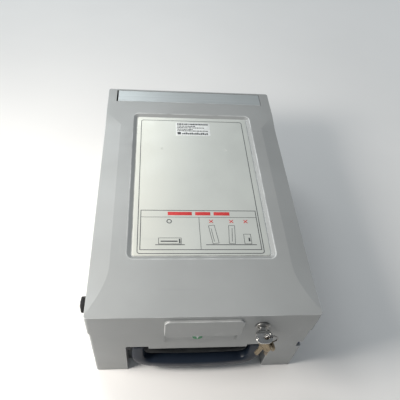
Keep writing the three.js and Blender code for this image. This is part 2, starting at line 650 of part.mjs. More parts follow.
function buildPusherPlate() {
  const { y, thick, half, z0, z1 } = PUSHER;
  const plate = slabXZ(roundedShape(-half, half, z0, z1, 8), y, y + thick);
  const pockets = [-66, -22, 22, 66].map((x) => slabXZ(
    roundedShape(x - 17, x + 17, z0 + 10, z1 - 10, 4), y + 1.6, y + thick + 1, 2));
  return cut(plate, ...pockets);
}

// ---------------------------------------------------------------- side fittings
function addSideWheel(name, side) {
  const { y, z, r, hubR, inner, outer } = WHEEL;
  const wall = WIDTH / 2 - CASE_INSET;
  const tyre = cut(
    rodTo(r, side * inner, side * outer, y, z, 32),
    rod('x', hubR + GAP, -BIG, BIG, y, z));
  add(`side_wheel_${name}`, tyre, PAINT.black);
  const stud = rodTo(hubR, side * 113, side * (outer + 1.2), y, z);
  const collar = rodTo(5, side * (wall + GAP), side * (inner - GAP), y, z);
  const cap = rodTo(4, side * (outer + GAP), side * (outer + 1.4), y, z);
  add(`side_axle_${name}`, join(stud, collar, cap), PAINT.steel);
}

function buildSideBolt() {
  const { x0, x1, y0, y1, z0, z1 } = BOLT;
  const nose = polygon([[x0, y0], [x1 - 4, y0], [x1, y0 + 5], [x1, y1], [x0, y1]]);
  const block = slab(nose, z0, z1);
  const bore = rod('x', 4.2, x0 - 1, x1 - 6, (y0 + y1) / 2, (z0 + z1) / 2);
  return cut(block, bore);
}

// Coil spring behind the bolt: a round wire swept along a helix.
function buildBoltSpring() {
  const from = WELL.half + 3 + GAP + 0.6;
  const to = 109;
  const coilR = 3.1;
  const turns = 6;
  const perTurn = 8;
  const points = [];
  for (let i = 0; i <= turns * perTurn; i += 1) {
    const a = (i / perTurn) * 2 * Math.PI;
    const x = from + ((to - from) * i) / (turns * perTurn);
    points.push(new THREE.Vector3(x, (BOLT.y0 + BOLT.y1) / 2 + coilR * Math.cos(a),
      (BOLT.z0 + BOLT.z1) / 2 + coilR * Math.sin(a)));
  }
  const wire = new THREE.Shape();
  wire.absarc(0, 0, 0.45, 0, 2 * Math.PI);
  return new THREE.ExtrudeGeometry(wire, {
    steps: turns * perTurn,
    extrudePath: new THREE.CatmullRomCurve3(points),
    curveSegments: 3,
  });
}

function buildBoard() {
  const { x, thick, y0, y1, z0, z1 } = BOARD;
  const chips = CHIP.corners.map(([y, z]) => box(
    x - CHIP.proud, x + 0.5, y, y + CHIP.long, z, z + CHIP.wide));
  return join(box(x, x + thick, y0, y1, z0, z1), ...chips);
}

function buildSignalConnector() {
  const rear = LENGTH / 2 - CASE_INSET;
  const shell = box(PLUG.x0, PLUG.x1, PLUG.y0, rear, PLUG.z0, PLUG.z1);
  const mouth = box(PLUG.x0 + 3, PLUG.x1 - 3, rear - 7, rear + 1, PLUG.z0 + 3, PLUG.z1 - 3);
  const tongue = box(PLUG.x0 + 7, PLUG.x1 - 7, rear - 8, rear - 1.5, PLUG.z0 + 6, PLUG.z1 - 6);
  return join(cut(shell, mouth), tongue);
}

// ---------------------------------------------------------------- assembly
function addCase() {
  add('lower_case', withKnuckles(buildLowerCase(), KNUCKLES.ends.map(caseKnuckle)), PAINT.shell);
  add('handle', buildHandle(), PAINT.navy);
  add('handle_panel', buildHandlePanel(), PAINT.charcoal);
  add('handle_pin_left', buildHandlePin(-1), PAINT.steel);
  add('handle_pin_right', buildHandlePin(1), PAINT.steel);
  add('lid_hinge_pin', rod('x', HINGE.pinR, -116, 116, HINGE.y, HINGE.z, 16), PAINT.steel);
  add('status_disc', rod('y', DISC.r, DISC.y0, DISC.y1, DISC.x, DISC.z), PAINT.green);
  add('lock_keeper', buildLockKeeper(), PAINT.steel);
  add('circuit_board', buildBoard(), PAINT.board);
  add('signal_connector', buildSignalConnector(), PAINT.black);
  add('side_bolt', buildSideBolt(), PAINT.blue);
  add('bolt_spring', buildBoltSpring(), PAINT.steel);
  addSideWheel('left', -1);
  addSideWheel('right', 1);
}

function addLid() {
  add('lid', buildLid(), PAINT.shell);
  add('label_plate', buildLabelPlate(), PAINT.label);
  add('shutter', buildShutter(), PAINT.shutter);
  const pin = rod('x', 1, SLOT.x0 - 3.5, SLOT.x1 + 3.5, FLAP.hingeY, FLAP.hingeZ, 12);
  add('shutter_pin', pin, PAINT.steel);
  add('lock_cylinder', buildLockCylinder(), PAINT.chrome);
  add('lock_plug', buildLockPlug(), PAINT.chrome);
  add('lock_cam', buildLockCam(), PAINT.steel);
  add('lock_key', buildLockKey(), PAINT.chrome);
  add('key_ring', buildKeyRing(), PAINT.steel);
  addSpareKey('spare_key_left', -2.8, 0.6, 0.16, 9, 33, PAINT.brass);
  addSpareKey('spare_key_right', 2.2, 0.45, -0.02, 8.5, 34, PAINT.brass);
}

function addTransport() {
  add('side_frame_left', buildSideFrame(-1), PAINT.steel);
  add('side_frame_right', buildSideFrame(1), PAINT.steel);
  add('note_floor', buildNoteFloor(), PAINT.steel);
  add('guide_rod_left', rod('y', ROD.r, ROD.y0, ROD.y1, -ROD.x, ROD.z), PAINT.chrome);
  add('guide_rod_right', rod('y', ROD.r, ROD.y0, ROD.y1, ROD.x, ROD.z), PAINT.chrome);
  add('pusher_belt', buildBelt(), PAINT.rubber);
  add('belt_pulley_front', buildPulley(PULLEY.frontY), PAINT.ivory);
  add('belt_pulley_rear', buildPulley(PULLEY.rearY), PAINT.ivory);
  add('pusher_carriage', buildCarriage(), PAINT.black);
  add('pusher_plate', buildPusherPlate(), PAINT.charcoal);
  addRollerSet('pick', PICK, SHAFT_R, -110, 103,
    [['left', -45, 18], ['centre', 0, 18], ['right', 45, 18]], PICK.rollerR, PAINT.rubber);
  addRollerSet('feed', feedAt, SHAFT_R, -110, 103,
    [['left', -22.5, 16], ['right', 22.5, 16]], FEED_ROLLER_R, PAINT.rubber);
  addRollerSet('pinch', PINCH, PINCH.shaftR, -103, 103,
    [['left', -22.5, 14], ['right', 22.5, 14]], PINCH.rollerR, PAINT.rubber);
  add('stacker_shaft', rod('x', SHAFT_R, -110, 103, stackerAt.y, stackerAt.z), PAINT.steel);
  add('stacker_wheel_left', stackerWheel(-75), PAINT.blue);
  add('stacker_wheel_right', stackerWheel(75), PAINT.blue);
  add('pick_bush_left', buildBush(-1), PAINT.brass);
  add('pick_bush_right', buildBush(1), PAINT.brass);
  add('drive_axle', rod('x', DRIVE_AXLE_R, -112, -96, driveAt.y, driveAt.z), PAINT.steel);
  addGears();
}

addCase();
addLid();
addTransport();

export default cassette;
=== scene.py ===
"""Looks of the banknote cassette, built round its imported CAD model."""
import json
import math
import random

import bmesh
import bpy
from mathutils import Matrix, Vector


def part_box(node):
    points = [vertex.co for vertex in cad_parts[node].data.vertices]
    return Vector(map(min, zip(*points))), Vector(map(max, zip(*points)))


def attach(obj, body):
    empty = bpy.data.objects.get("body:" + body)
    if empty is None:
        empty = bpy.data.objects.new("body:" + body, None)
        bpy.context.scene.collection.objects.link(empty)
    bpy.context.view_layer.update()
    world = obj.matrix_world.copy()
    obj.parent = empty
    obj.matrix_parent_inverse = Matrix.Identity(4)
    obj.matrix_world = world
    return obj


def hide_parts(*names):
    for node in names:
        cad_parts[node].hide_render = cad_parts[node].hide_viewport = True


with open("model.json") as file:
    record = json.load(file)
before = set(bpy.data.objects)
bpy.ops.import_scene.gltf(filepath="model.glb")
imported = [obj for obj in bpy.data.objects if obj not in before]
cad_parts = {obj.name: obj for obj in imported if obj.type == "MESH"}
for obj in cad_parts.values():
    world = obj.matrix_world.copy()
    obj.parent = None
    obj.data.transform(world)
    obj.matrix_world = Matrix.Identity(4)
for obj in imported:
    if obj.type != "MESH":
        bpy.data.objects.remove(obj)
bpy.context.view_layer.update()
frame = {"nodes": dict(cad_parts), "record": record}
NODES = frame["nodes"]
MM = 0.001
TAU = 2 * math.pi


def mm(*values):
    """A point given in millimetres, in metres."""
    return Vector(values) * MM


# ---------------------------------------------------------------- camera, floor and lights
CAMERA_PLACE = mm(-54.7, -380.2, 550.4)
CAMERA_PITCH = math.radians(49.32)
CAMERA_YAW = math.radians(9.37)
CAMERA_ROLL = math.radians(7.74)
CAMERA_LENS = 40.23

# Each light's place, target and size in metres, its power in watts and its colour.
LIGHTS = {
    "key_light": {"place": (-0.52, -0.22, 0.54), "target": (0, 0, 0.12), "size": (0.24, 0.24),
                  "power": 5.6, "colour": (1.0, 0.96, 0.91)},
    "back_softbox": {"place": (-0.5, 1.15, 1.2), "target": (0, 0, 0.1), "size": (1.0, 0.8),
                     "power": 9.0, "colour": (0.92, 0.98, 1.0)},
    "right_fill": {"place": (1.45, 0.75, 0.38), "target": (0, 0, 0.05), "size": (1.2, 0.5),
                   "power": 4, "colour": (0.92, 0.97, 1.0)},
}
SKY_COLOUR = (0.86, 0.93, 1.0)
SKY_STRENGTH = 0.25
FLOOR_HALF = 6
FLOOR_Z = -0.0002


def make_camera():
    forward = Vector((
        math.sin(CAMERA_YAW) * math.cos(CAMERA_PITCH),
        math.cos(CAMERA_YAW) * math.cos(CAMERA_PITCH),
        -math.sin(CAMERA_PITCH),
    ))
    level_right = Vector((math.cos(CAMERA_YAW), -math.sin(CAMERA_YAW), 0))
    level_up = level_right.cross(forward)
    right = level_right * math.cos(CAMERA_ROLL) + level_up * math.sin(CAMERA_ROLL)
    up = level_up * math.cos(CAMERA_ROLL) - level_right * math.sin(CAMERA_ROLL)
    data = bpy.data.cameras.new("camera")
    data.lens = CAMERA_LENS
    data.sensor_width = 36
    data.clip_start = 0.01
    data.clip_end = 50
    camera = bpy.data.objects.new("camera", data)
    bpy.context.scene.collection.objects.link(camera)
    turn = Matrix((right, up, -forward)).transposed()
    camera.matrix_world = Matrix.Translation(CAMERA_PLACE) @ turn.to_4x4()
    bpy.context.scene.camera = camera


def area_light(name, place, target, size, power, colour):
    data = bpy.data.lights.new(name, "AREA")
    data.shape = "RECTANGLE"
    data.size, data.size_y = size
    data.energy = power
    data.color = colour
    light = bpy.data.objects.new(name, data)
    bpy.context.scene.collection.objects.link(light)
    light.location = place
    light.rotation_euler = (Vector(target) - Vector(place)).to_track_quat("-Z", "Y").to_euler()


def make_lights():
    for name, light in LIGHTS.items():
        area_light(name, **light)
    world = bpy.data.worlds.new("studio")
    bpy.context.scene.world = world
    world.use_nodes = True
    background = world.node_tree.nodes["Background"]
    background.inputs["Color"].default_value = (*SKY_COLOUR, 1)
    background.inputs["Strength"].default_value = SKY_STRENGTH
    bpy.context.scene.view_settings.view_transform = "Standard"


def make_floor():
    mesh = bpy.data.meshes.new("floor")
    half = FLOOR_HALF
    mesh.from_pydata(
        [(-half, -half, 0), (half, -half, 0), (half, half, 0), (-half, half, 0)], [],
        [(0, 1, 2, 3)])
    floor = bpy.data.objects.new("floor", mesh)
    bpy.context.scene.collection.objects.link(floor)
    floor.location.z = FLOOR_Z
    paint = Paint("floor_paint", (0.93, 0.915, 0.895), 0.75)
    paint.vary(paint.noise(3.0), 0.97, 1.0)
    floor.data.materials.append(paint.material)


# ---------------------------------------------------------------- materials
# A colour Mix node's sockets: its two colours, and the output.
MIX_FROM, MIX_TO, MIX_RESULT = 6, 7, 2
EVEN = (1, 1, 1)


class Paint:
    """A Principled material with helpers that add procedural variation to it."""

    def __init__(self, name, colour, roughness, metallic=0.0):
        self.material = bpy.data.materials.new(name)
        self.material.use_nodes = True
        self.tree = self.material.node_tree
        self.shader = self.tree.nodes["Principled BSDF"]
        self.colour = colour
        self.set("Base Color", (*colour, 1))
        self.set("Roughness", roughness)
        self.set("Metallic", metallic)

    def set(self, socket, value):
        self.shader.inputs[socket].default_value = value

    def node(self, kind, **inputs):
        made = self.tree.nodes.new(kind)
        for key, value in inputs.items():
            made.inputs[key].default_value = value
        return made

    def link(self, source, target):
        self.tree.links.new(source, target)

    def coordinates(self, stretch):
        place = self.node("ShaderNodeTexCoord")
        mapping = self.node("ShaderNodeMapping", Scale=stretch)
        self.link(place.outputs["Object"], mapping.inputs["Vector"])
        return mapping.outputs["Vector"]

    def noise(self, scale, detail=3.0, stretch=EVEN, low=0.35, high=0.65, rough=0.55):
        """Noise stretched so that low to high covers 0 to 1."""
        texture = self.node("ShaderNodeTexNoise", Scale=scale, Detail=detail, Roughness=rough)
        self.link(self.coordinates(stretch), texture.inputs["Vector"])
        return self.spread(texture.outputs["Fac"], low, high, 0, 1)

    def cells(self, scale):
        texture = self.node("ShaderNodeTexVoronoi", Scale=scale)
        self.link(self.coordinates(EVEN), texture.inputs["Vector"])
        return texture.outputs["Distance"]

    def along(self, axis, start, end):
        """0 at one place along an axis of the object and 1 at another, in metres."""
        place = self.node("ShaderNodeTexCoord")
        split = self.node("ShaderNodeSeparateXYZ")
        self.link(place.outputs["Object"], split.inputs[0])
        return self.spread(split.outputs[axis], start, end, 0, 1)

    def spread(self, value, low, high, to_low, to_high):
        """Maps low to high onto to_low to to_high, and holds the ends beyond them."""
        made = self.tree.nodes.new("ShaderNodeMapRange")
        for index, number in ((1, low), (2, high), (3, to_low), (4, to_high)):
            made.inputs[index].default_value = number
        self.link(value, made.inputs[0])
        return made.outputs[0]

    def product(self, a, b):
        """Multiplies two values, each a socket or a number."""
        made = self.tree.nodes.new("ShaderNodeMath")
        made.operation = "MULTIPLY"
        for index, value in enumerate((a, b)):
            if isinstance(value, (int, float)):
                made.inputs[index].default_value = value
            else:
                self.link(value, made.inputs[index])
        return made.outputs[0]

    def _base(self):
        links = self.shader.inputs["Base Color"].links
        return links[0].from_socket if links else None

    def tint(self, factor, colour):
        """Mixes towards a colour where factor is 1."""
        mix = self.tree.nodes.new("ShaderNodeMix")
        mix.data_type = "RGBA"
        before = self._base()
        if before:
            self.link(before, mix.inputs[MIX_FROM])
        else:
            mix.inputs[MIX_FROM].default_value = (*self.colour, 1)
        mix.inputs[MIX_TO].default_value = (*colour, 1)
        self.link(factor, mix.inputs[0])
        self.link(mix.outputs[MIX_RESULT], self.shader.inputs["Base Color"])

    def vary(self, factor, low, high):
        """Scales the plain colour between two strengths. It comes before any tint."""
        dark = tuple(channel * low for channel in self.colour)
        light = tuple(min(1, channel * high) for channel in self.colour)
        mix = self.tree.nodes.new("ShaderNodeMix")
        mix.data_type = "RGBA"
        mix.inputs[MIX_FROM].default_value = (*dark, 1)
        mix.inputs[MIX_TO].default_value = (*light, 1)
        self.link(factor, mix.inputs[0])
        self.link(mix.outputs[MIX_RESULT], self.shader.inputs["Base Color"])

    def rough(self, factor, low, high):
        self.link(self.spread(factor, 0, 1, low, high), self.shader.inputs["Roughness"])

    def bump(self, height, strength, distance):
        made = self.node("ShaderNodeBump", Strength=strength, Distance=distance)
        links = self.shader.inputs["Normal"].links
        if links:
            self.link(links[0].from_socket, made.inputs["Normal"])
        self.link(height, made.inputs["Height"])
        self.link(made.outputs["Normal"], self.shader.inputs["Normal"])

    def rubbed_and_highlit_edges(self, scale, strength):
        """The rounded edges that shell_copy marks, broken up by noise: a mask for a paler tint that
        is partly rubbed wear and partly a painted highlight along the edges.
        """
        mark = self.node("ShaderNodeAttribute")
        mark.attribute_name = "wear"
        patchy = self.noise(scale, 4.0, EVEN, 0.3, 0.62)
        return self.product(self.product(mark.outputs["Fac"], patchy), strength)

    def scratches(self, scale, stretch, low=0.70, high=0.76):
        """Thin streaks: only the peaks of strongly stretched noise."""
        return self.noise(scale, 2.0, stretch, low, high, 0.5)


def shell_paint():
    """Satin moulded plastic with a fine grain, faint clouding, scuffs, and paler rounded edges that
    are partly rubbed wear and partly painted highlight.
    """
    paint = Paint("shell_plastic", (0.344, 0.353, 0.35), 0.45, 0.12)
    paint.vary(paint.noise(9.0, 4.0), 0.955, 1.04)
    pale_scuffs = paint.scratches(55, (1, 0.05, 1), 0.69, 0.75)
    dark_scuffs = paint.scratches(60, (0.06, 1, 1), 0.71, 0.77)
    paint.tint(paint.product(pale_scuffs, 0.16), (0.52, 0.54, 0.54))
    paint.tint(paint.product(dark_scuffs, 0.14), (0.24, 0.25, 0.25))
    foot = paint.product(paint.along("Z", 0.03, 0.0), paint.noise(60, 5.0))
    paint.tint(paint.product(foot, 0.3), (0.2, 0.195, 0.185))
    # Paler rounded edges: partly rubbed wear, partly a painted highlight along the edges.
    paint.tint(paint.rubbed_and_highlit_edges(45, 0.7), (0.66, 0.675, 0.67))
    paint.rough(paint.noise(14.0, 4.0), 0.38, 0.5)
    paint.bump(paint.noise(1500, 2.0), 0.35, 0.00006)
    return paint.material


def label_paint():
    """Thin satin aluminium plate, finely brushed across, with painted warm light that grows towards
    its left side.
    """
    paint = Paint("label_plate", (0.68, 0.7, 0.66), 0.5, 0.35)
    paint.vary(paint.noise(5.0, 3.0), 0.97, 1.03)
    # Painted light: a warmer, lighter tint that grows towards the plate's left side, where the key
    # lamp falls.
    painted_left_light = paint.product(paint.along("X", 0.0, -0.075), 0.6)
    paint.tint(painted_left_light, (0.74, 0.735, 0.655))
    paint.bump(paint.noise(900, 2.0, (0.03, 1, 1)), 0.12, 0.00003)
    marks = paint.scratches(70, (0.08, 1, 1), 0.70, 0.76)
    paint.tint(paint.product(marks, 0.12), (0.45, 0.47, 0.47))
    paint.rough(paint.noise(30, 4.0), 0.46, 0.58)
    return paint.material


def shutter_paint():
    """Brushed aluminium, drawn along X."""
    paint = Paint("shutter_metal", (0.42, 0.45, 0.455), 0.45, 0.3)
    paint.vary(paint.noise(400, 4.0, (0.015, 1, 1), 0.3, 0.7), 0.93, 1.05)
    # Paler rounded edges: partly rubbed wear, partly a painted highlight along the edges.
    paint.tint(paint.rubbed_and_highlit_edges(60, 0.8), (0.75, 0.77, 0.77))
    paint.bump(paint.noise(1200, 3.0, (0.01, 1, 1)), 0.2, 0.00004)
    paint.rough(paint.noise(25, 3.0), 0.33, 0.45)
    return paint.material


def plastic_paint(name, colour, roughness, grain=0.00005, wear=0.1, wear_colour=None, gloss=0.5):
    """Moulded plastic: grain, uneven sheen and rubbed streaks."""
    paint = Paint(name, colour, roughness)
    paint.set("Specular IOR Level", gloss)
    paint.vary(paint.noise(25, 4.0), 0.9, 1.1)
    lighter = wear_colour or tuple(min(1, channel * 2.2 + 0.03) for channel in colour)
    rubbed = paint.scratches(90, (0.1, 1, 1))
    paint.tint(paint.product(rubbed, wear), lighter)
    paint.rough(paint.noise(40, 3.0), roughness - 0.06, roughness + 0.08)
    paint.bump(paint.noise(1400, 2.0), 0.3, grain)
    return paint.material


def panel_paint():
    """Dark panel with a coarse moulded texture."""
    paint = Paint("panel_texture", (0.045, 0.052, 0.058), 0.62)
    speck = paint.cells(900)
    paint.vary(paint.noise(30, 4.0), 0.85, 1.2)
    paint.tint(paint.product(paint.noise(1100, 2.0, EVEN, 0.55, 0.7), 0.5),
               (0.13, 0.145, 0.155))
    paint.bump(speck, 0.6, 0.0002)
    paint.rough(paint.noise(50, 3.0), 0.55, 0.72)
    return paint.material


def rubber_paint(name, colour):
    """Mottled rubber with pale, dusty patches."""
    paint = Paint(name, colour, 0.78)
    paint.vary(paint.noise(120, 5.0), 0.75, 1.25)
    paint.tint(paint.product(paint.noise(220, 5.0, EVEN, 0.6, 0.75), 0.3),
               (0.12, 0.12, 0.115))
    paint.bump(paint.noise(900, 3.0), 0.4, 0.0001)
    paint.rough(paint.noise(60, 3.0), 0.68, 0.88)
    return paint.material


def metal_paint(name, colour, roughness, stretch=EVEN, stain=0.25,
                stain_colour=(0.1, 0.09, 0.08)):
    """Worked metal: drawn or ground lines, uneven polish and patchy stains."""
    paint = Paint(name, colour, roughness, 1.0)
    paint.vary(paint.noise(60, 4.0), 0.88, 1.08)
    stains = paint.noise(180, 6.0, EVEN, 0.58, 0.72)
    paint.tint(paint.product(stains, stain), stain_colour)
    paint.rough(paint.noise(300, 4.0, stretch), max(0.08, roughness - 0.1), roughness + 0.14)
    paint.bump(paint.noise(1300, 3.0, stretch), 0.2, 0.00004)
    return paint.material


def board_paint():
    """Solder mask over copper: tracks show as slightly lighter, raised lines."""
    paint = Paint("board_mask", (0.012, 0.105, 0.05), 0.34)
    tracks = paint.noise(260, 0.0, (1, 0.12, 1), 0.5, 0.54)
    paint.tint(paint.product(tracks, 0.5), (0.03, 0.2, 0.1))
    paint.bump(tracks, 0.4, 0.00008)
    paint.rough(paint.noise(80, 3.0), 0.28, 0.42)
    return paint.material


def ink_paint(name, colour):
    """Screen-printed ink: slightly uneven cover."""
    paint = Paint(name, colour, 0.55)
    paint.vary(paint.noise(700, 3.0), 0.88, 1.1)
    paint.bump(paint.noise(2500, 2.0), 0.15, 0.00002)
    return paint.material


def make_materials():
    """One material for each of the record's slots, and the inks."""
    drawn_x = (0.02, 1, 1)
    drawn_y = (1, 0.02, 1)
    return {
        "shell": shell_paint(),
        "label": label_paint(),
        "shutter": shutter_paint(),
        "handle": plastic_paint("handle_plastic", (0.012, 0.019, 0.033), 0.36, 0.00003, 0.08,
                                gloss=0.28),
        "panel": panel_paint(),
        "black_plastic": plastic_paint("black_plastic", (0.014, 0.014, 0.016), 0.42),
        "blue_plastic": plastic_paint("blue_plastic", (0.018, 0.03, 0.11), 0.4),
        "ivory_plastic": plastic_paint("acetal", (0.6, 0.565, 0.46), 0.42, 0.00002, 0.1,
                                       (0.35, 0.32, 0.26)),
        "status_green": plastic_paint("status_green", (0.01, 0.22, 0.075), 0.4, 0.00002, 0.1),
        "board": board_paint(),
        "wheel": rubber_paint("wheel_tyre", (0.013, 0.013, 0.014)),
        "roller_rubber": rubber_paint("roller_rubber", (0.03, 0.031, 0.033)),
        "belt": rubber_paint("belt_rubber", (0.012, 0.012, 0.012)),
        "steel": metal_paint("turned_steel", (0.47, 0.475, 0.48), 0.3, drawn_x),
        "blackened_steel": metal_paint("blackened_steel", (0.05, 0.052, 0.055), 0.42, drawn_x, 0.3),
        "frame_sheet": metal_paint("zinc_sheet", (0.42, 0.44, 0.45), 0.4, drawn_y, 0.15),
        "ring_steel": metal_paint("ring_steel", (0.32, 0.31, 0.3), 0.3, EVEN, 0.4),
        "rod_chrome": metal_paint("ground_rod", (0.66, 0.67, 0.69), 0.14, drawn_y, 0.05),
        "lock_chrome": metal_paint("lock_chrome", (0.32, 0.32, 0.31), 0.34, EVEN, 0.4),
        "key_nickel": metal_paint("key_nickel", (0.6, 0.59, 0.57), 0.24, drawn_x, 0.4),
        "key_brass": metal_paint("key_brass", (0.27, 0.22, 0.15), 0.28, EVEN, 0.8,
                                 (0.045, 0.035, 0.025)),
        "bush_brass": metal_paint("bush_bronze", (0.45, 0.32, 0.15), 0.42),
        "black_ink": ink_paint("black_ink", (0.05, 0.055, 0.06)),
        "red_ink": ink_paint("red_ink", (0.55, 0.035, 0.035)),
        "white_film": ink_paint("white_film", (0.78, 0.8, 0.79)),
        "gold": metal_paint("contact_gold", (0.7, 0.52, 0.22), 0.25),
    }


# ---------------------------------------------------------------- CAD nodes
# Radius of the rounded edges, in millimetres. The nodes in SHELLS get a rounded copy, the
# others are rounded where they are.
SHELLS = {"lower_case": 0.8, "lid": 0.8, "shutter": 0.4}
ROUNDING = {
    "label_plate": 0.25, "handle_panel": 0.3, "side_bolt": 0.7, "pusher_plate": 0.5,
    "pusher_carriage": 0.4, "side_frame_left": 0.25, "side_frame_right": 0.25, "note_floor": 0.25,
    "lock_keeper": 0.4, "lock_cam": 0.3, "signal_connector": 0.3, "circuit_board": 0.15,
    "status_disc": 0.25, "lock_cylinder": 0.45, "drive_gear": 0.2, "pick_gear": 0.2,
    "feed_gear": 0.2, "stacker_gear": 0.2,
}
USUAL_ROUNDING = 0.35
# Nodes whose finish differs from the rest of their slot.
FINISHES = {"handle_pin_left": "blackened_steel", "handle_pin_right": "blackened_steel"}
# Nodes that a whole new piece stands for.
REPLACED = {
    "handle", "spare_key_left", "spare_key_right", "lock_key", "key_ring",
    "side_wheel_left", "side_wheel_right", "pick_roller_left", "pick_roller_centre",
    "pick_roller_right", "feed_roller_left", "feed_roller_right", "pinch_roller_left",
    "pinch_roller_right",
}
# Distances in metres, and angles between two faces, that decide what is merged and rounded.
SAME_POINT = 2e-6
BEVEL_SEAM = 1e-6
NEARLY_FLAT = math.radians(0.5)
CREASE_FROM = math.radians(6)
SHARP_FROM = math.radians(25)
SHORT_EDGE = 0.3 * MM
# Creases are the folds of the top, which lies above this height.
CREASE_HEIGHT = 135.5 * MM
CREASE_SLOPE = 0.5
MERGED_FLAT = math.radians(1.0)
ROUNDED_FROM = math.radians(32)
BEVEL_STEPS = 3


def connected(edges):
    """Splits edges into groups that share no corner."""
    left = dict.fromkeys(edges)
    groups = []
    while left:
        group = [left.popitem()[0]]
        for edge in group:
            near = dict.fromkeys(o for v in edge.verts for o in v.link_edges if o in left)
            for other in near:
                del left[other]
            group.extend(near)
        groups.append(group)
    return groups


def shell_copy(node, width, body, paint):
    """A copy of a thin-walled node with its long sharp edges rounded, group by group, so that a
    tight spot in one group doesn't stop the rounding elsewhere. The rounded faces get the mark that
    Paint reads for its paler edges, which are partly rubbed wear and partly a painted highlight."""
    bm = bmesh.new()
    bm.from_mesh(NODES[node].data)
    # Mark for the rounded faces, which the paints tint paler: partly rubbed wear, partly a painted
    # highlight along the edges.
    wear = bm.faces.layers.float.new("wear")
    bmesh.ops.remove_doubles(bm, verts=bm.verts, dist=SAME_POINT)
    bmesh.ops.dissolve_limit(bm, angle_limit=NEARLY_FLAT, verts=bm.verts, edges=bm.edges)
    bm.edges.index_update()
    angles = [(edge, edge.calc_face_angle(0)) for edge in bm.edges]
    sharp = [edge for edge, angle in angles if angle > SHARP_FROM]
    tiny = {v for edge in sharp if edge.calc_length() < SHORT_EDGE for v in edge.verts}
    ready = [edge for edge in sharp if not tiny.intersection(edge.verts)]
    creases = [edge for edge, angle in angles
               if CREASE_FROM < angle <= SHARP_FROM and is_crease(edge)]
    for edge in set(sharp).difference(ready).union(creases):
        edge.smooth = False
    for group in connected(ready):
        made = bmesh.ops.bevel(bm, geom=group, offset=width * MM, offset_type="OFFSET",
                               segments=BEVEL_STEPS, profile=0.5, clamp_overlap=True,
                               affect="EDGES")
        for face in made["faces"]:
            face[wear] = 1.0
    bmesh.ops.remove_doubles(bm, verts=bm.verts, dist=BEVEL_SEAM)
    for face in bm.faces:
        face.smooth = True
    mesh = bpy.data.meshes.new(f"{node}_shell")
    bm.to_mesh(mesh)
    bm.free()
    made = piece(f"{node}_shell", mesh, paint, body, smooth=False)
    weights = made.modifiers.new("normals", "WEIGHTED_NORMAL")
    weights.keep_sharp = True
    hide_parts(node)


def is_crease(edge):
    """A shallow fold of the top, level or nearly so, and not a facet of a rounded corner."""
    a, b = (v.co for v in edge.verts)
    return abs(a.z - b.z) < CREASE_SLOPE * (a - b).length and min(a.z, b.z) > CREASE_HEIGHT


def round_edges(thing, width):
    """Merges coplanar triangles, then rounds the sharp edges and smooths the shading."""
    thing.data.shade_smooth()
    weld = thing.modifiers.new("weld", "WELD")
    weld.merge_threshold = SAME_POINT
    flat = thing.modifiers.new("flat", "DECIMATE")
    flat.decimate_type = "DISSOLVE"
    flat.angle_limit = MERGED_FLAT
    bevel = thing.modifiers.new("bevel", "BEVEL")
    bevel.width = width * MM
    bevel.segments = BEVEL_STEPS
    bevel.limit_method = "ANGLE"
    bevel.angle_limit = ROUNDED_FROM
    bevel.harden_normals = True
    bevel.use_clamp_overlap = True
    bevel.miter_outer = "MITER_ARC"


def dress_nodes(paints):
    """Gives every CAD node its slot's finish, and rounds the ones that stay visible."""
    slots = {row["node"]: row["material_slot"] for row in frame["record"]["subparts"]}
    bodies = {node: body for body, nodes in frame["record"]["behaviour"]["bodies"].items()
              for node in nodes}
    for name, thing in NODES.items():
        thing.data.materials.clear()
        thing.data.materials.append(paints[FINISHES.get(name, slots[name])])
        if name in SHELLS:
            shell_copy(name, SHELLS[name], bodies[name], paints[slots[name]])
        elif name not in REPLACED:
            round_edges(thing, ROUNDING.get(name, USUAL_ROUNDING))


# ---------------------------------------------------------------- mesh helpers
# A solid's turned profile starts and ends this far off its axis, in mm, so that no edge there
# shrinks to a point.
NEAR_AXIS = 0.0001
BLOCK_ROUNDING = 0.22
CURVE_SEAM = 1e-7


def piece(name, mesh, paint, body, smooth=True):
    """Puts a mesh in the scene as a piece that rides on a body."""
    made = bpy.data.objects.new(name, mesh)
    bpy.context.scene.collection.objects.link(made)
    mesh.materials.clear()
    mesh.materials.append(paint)
    if smooth:
        mesh.shade_smooth()
    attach(made, body)
    return made


def loft_mesh(name, rings, closed=False):
    """Skins rings of points. Open rows of rings get caps, closed ones join up."""
    bm = bmesh.new()
    rows = [[bm.verts.new(point) for point in ring] for ring in rings]
    pairs = list(zip(rows, rows[1:]))
    if closed:
        pairs.append((rows[-1], rows[0]))
    for low, high in pairs:
        for i in range(len(low)):
            j = (i + 1) % len(low)
            bm.faces.new((low[i], low[j], high[j], high[i]))
    if not closed:
        bm.faces.new(list(reversed(rows[0])))
        bm.faces.new(rows[-1])
    bmesh.ops.recalc_face_normals(bm, faces=bm.faces)
    mesh = bpy.data.meshes.new(name)
    bm.to_mesh(mesh)
    bm.free()
    return mesh


def lathe_mesh(name, profile, axis, centre, segments):
    """Turns a closed profile of (radius, place along the axis), in metres."""
    rings = []
    for s in range(segments):
        angle = TAU * s / segments
        ring = []
        for radius, along in profile:
            a, b = radius * math.cos(angle), radius * math.sin(angle)
            point = {"x": (along, a, b), "y": (a, along, b), "z": (a, b, along)}[axis]
            ring.append(Vector(point) + Vector(centre))
        rings.append(ring)
    return loft_mesh(name, rings, closed=True)


def arc(cx, cy, radius, start, end, count):
    """Points along an arc, angles in degrees."""
    points = []
    for i in range(count + 1):
        a = math.radians(start + (end - start) * i / count)
        points.append((cx + radius * math.cos(a), cy + radius * math.sin(a)))
    return points


def circle(cx, cy, radius, count):
    return arc(cx, cy, radius, 0, 360, count)[:-1]


def rounded(x0, x1, y0, y1, r, count=6):
    """A rectangle with round corners."""
    return (arc(x1 - r, y1 - r, r, 0, 90, count) + arc(x0 + r, y1 - r, r, 90, 180, count)
            + arc(x0 + r, y0 + r, r, 180, 270, count) + arc(x1 - r, y0 + r, r, 270, 360, count))


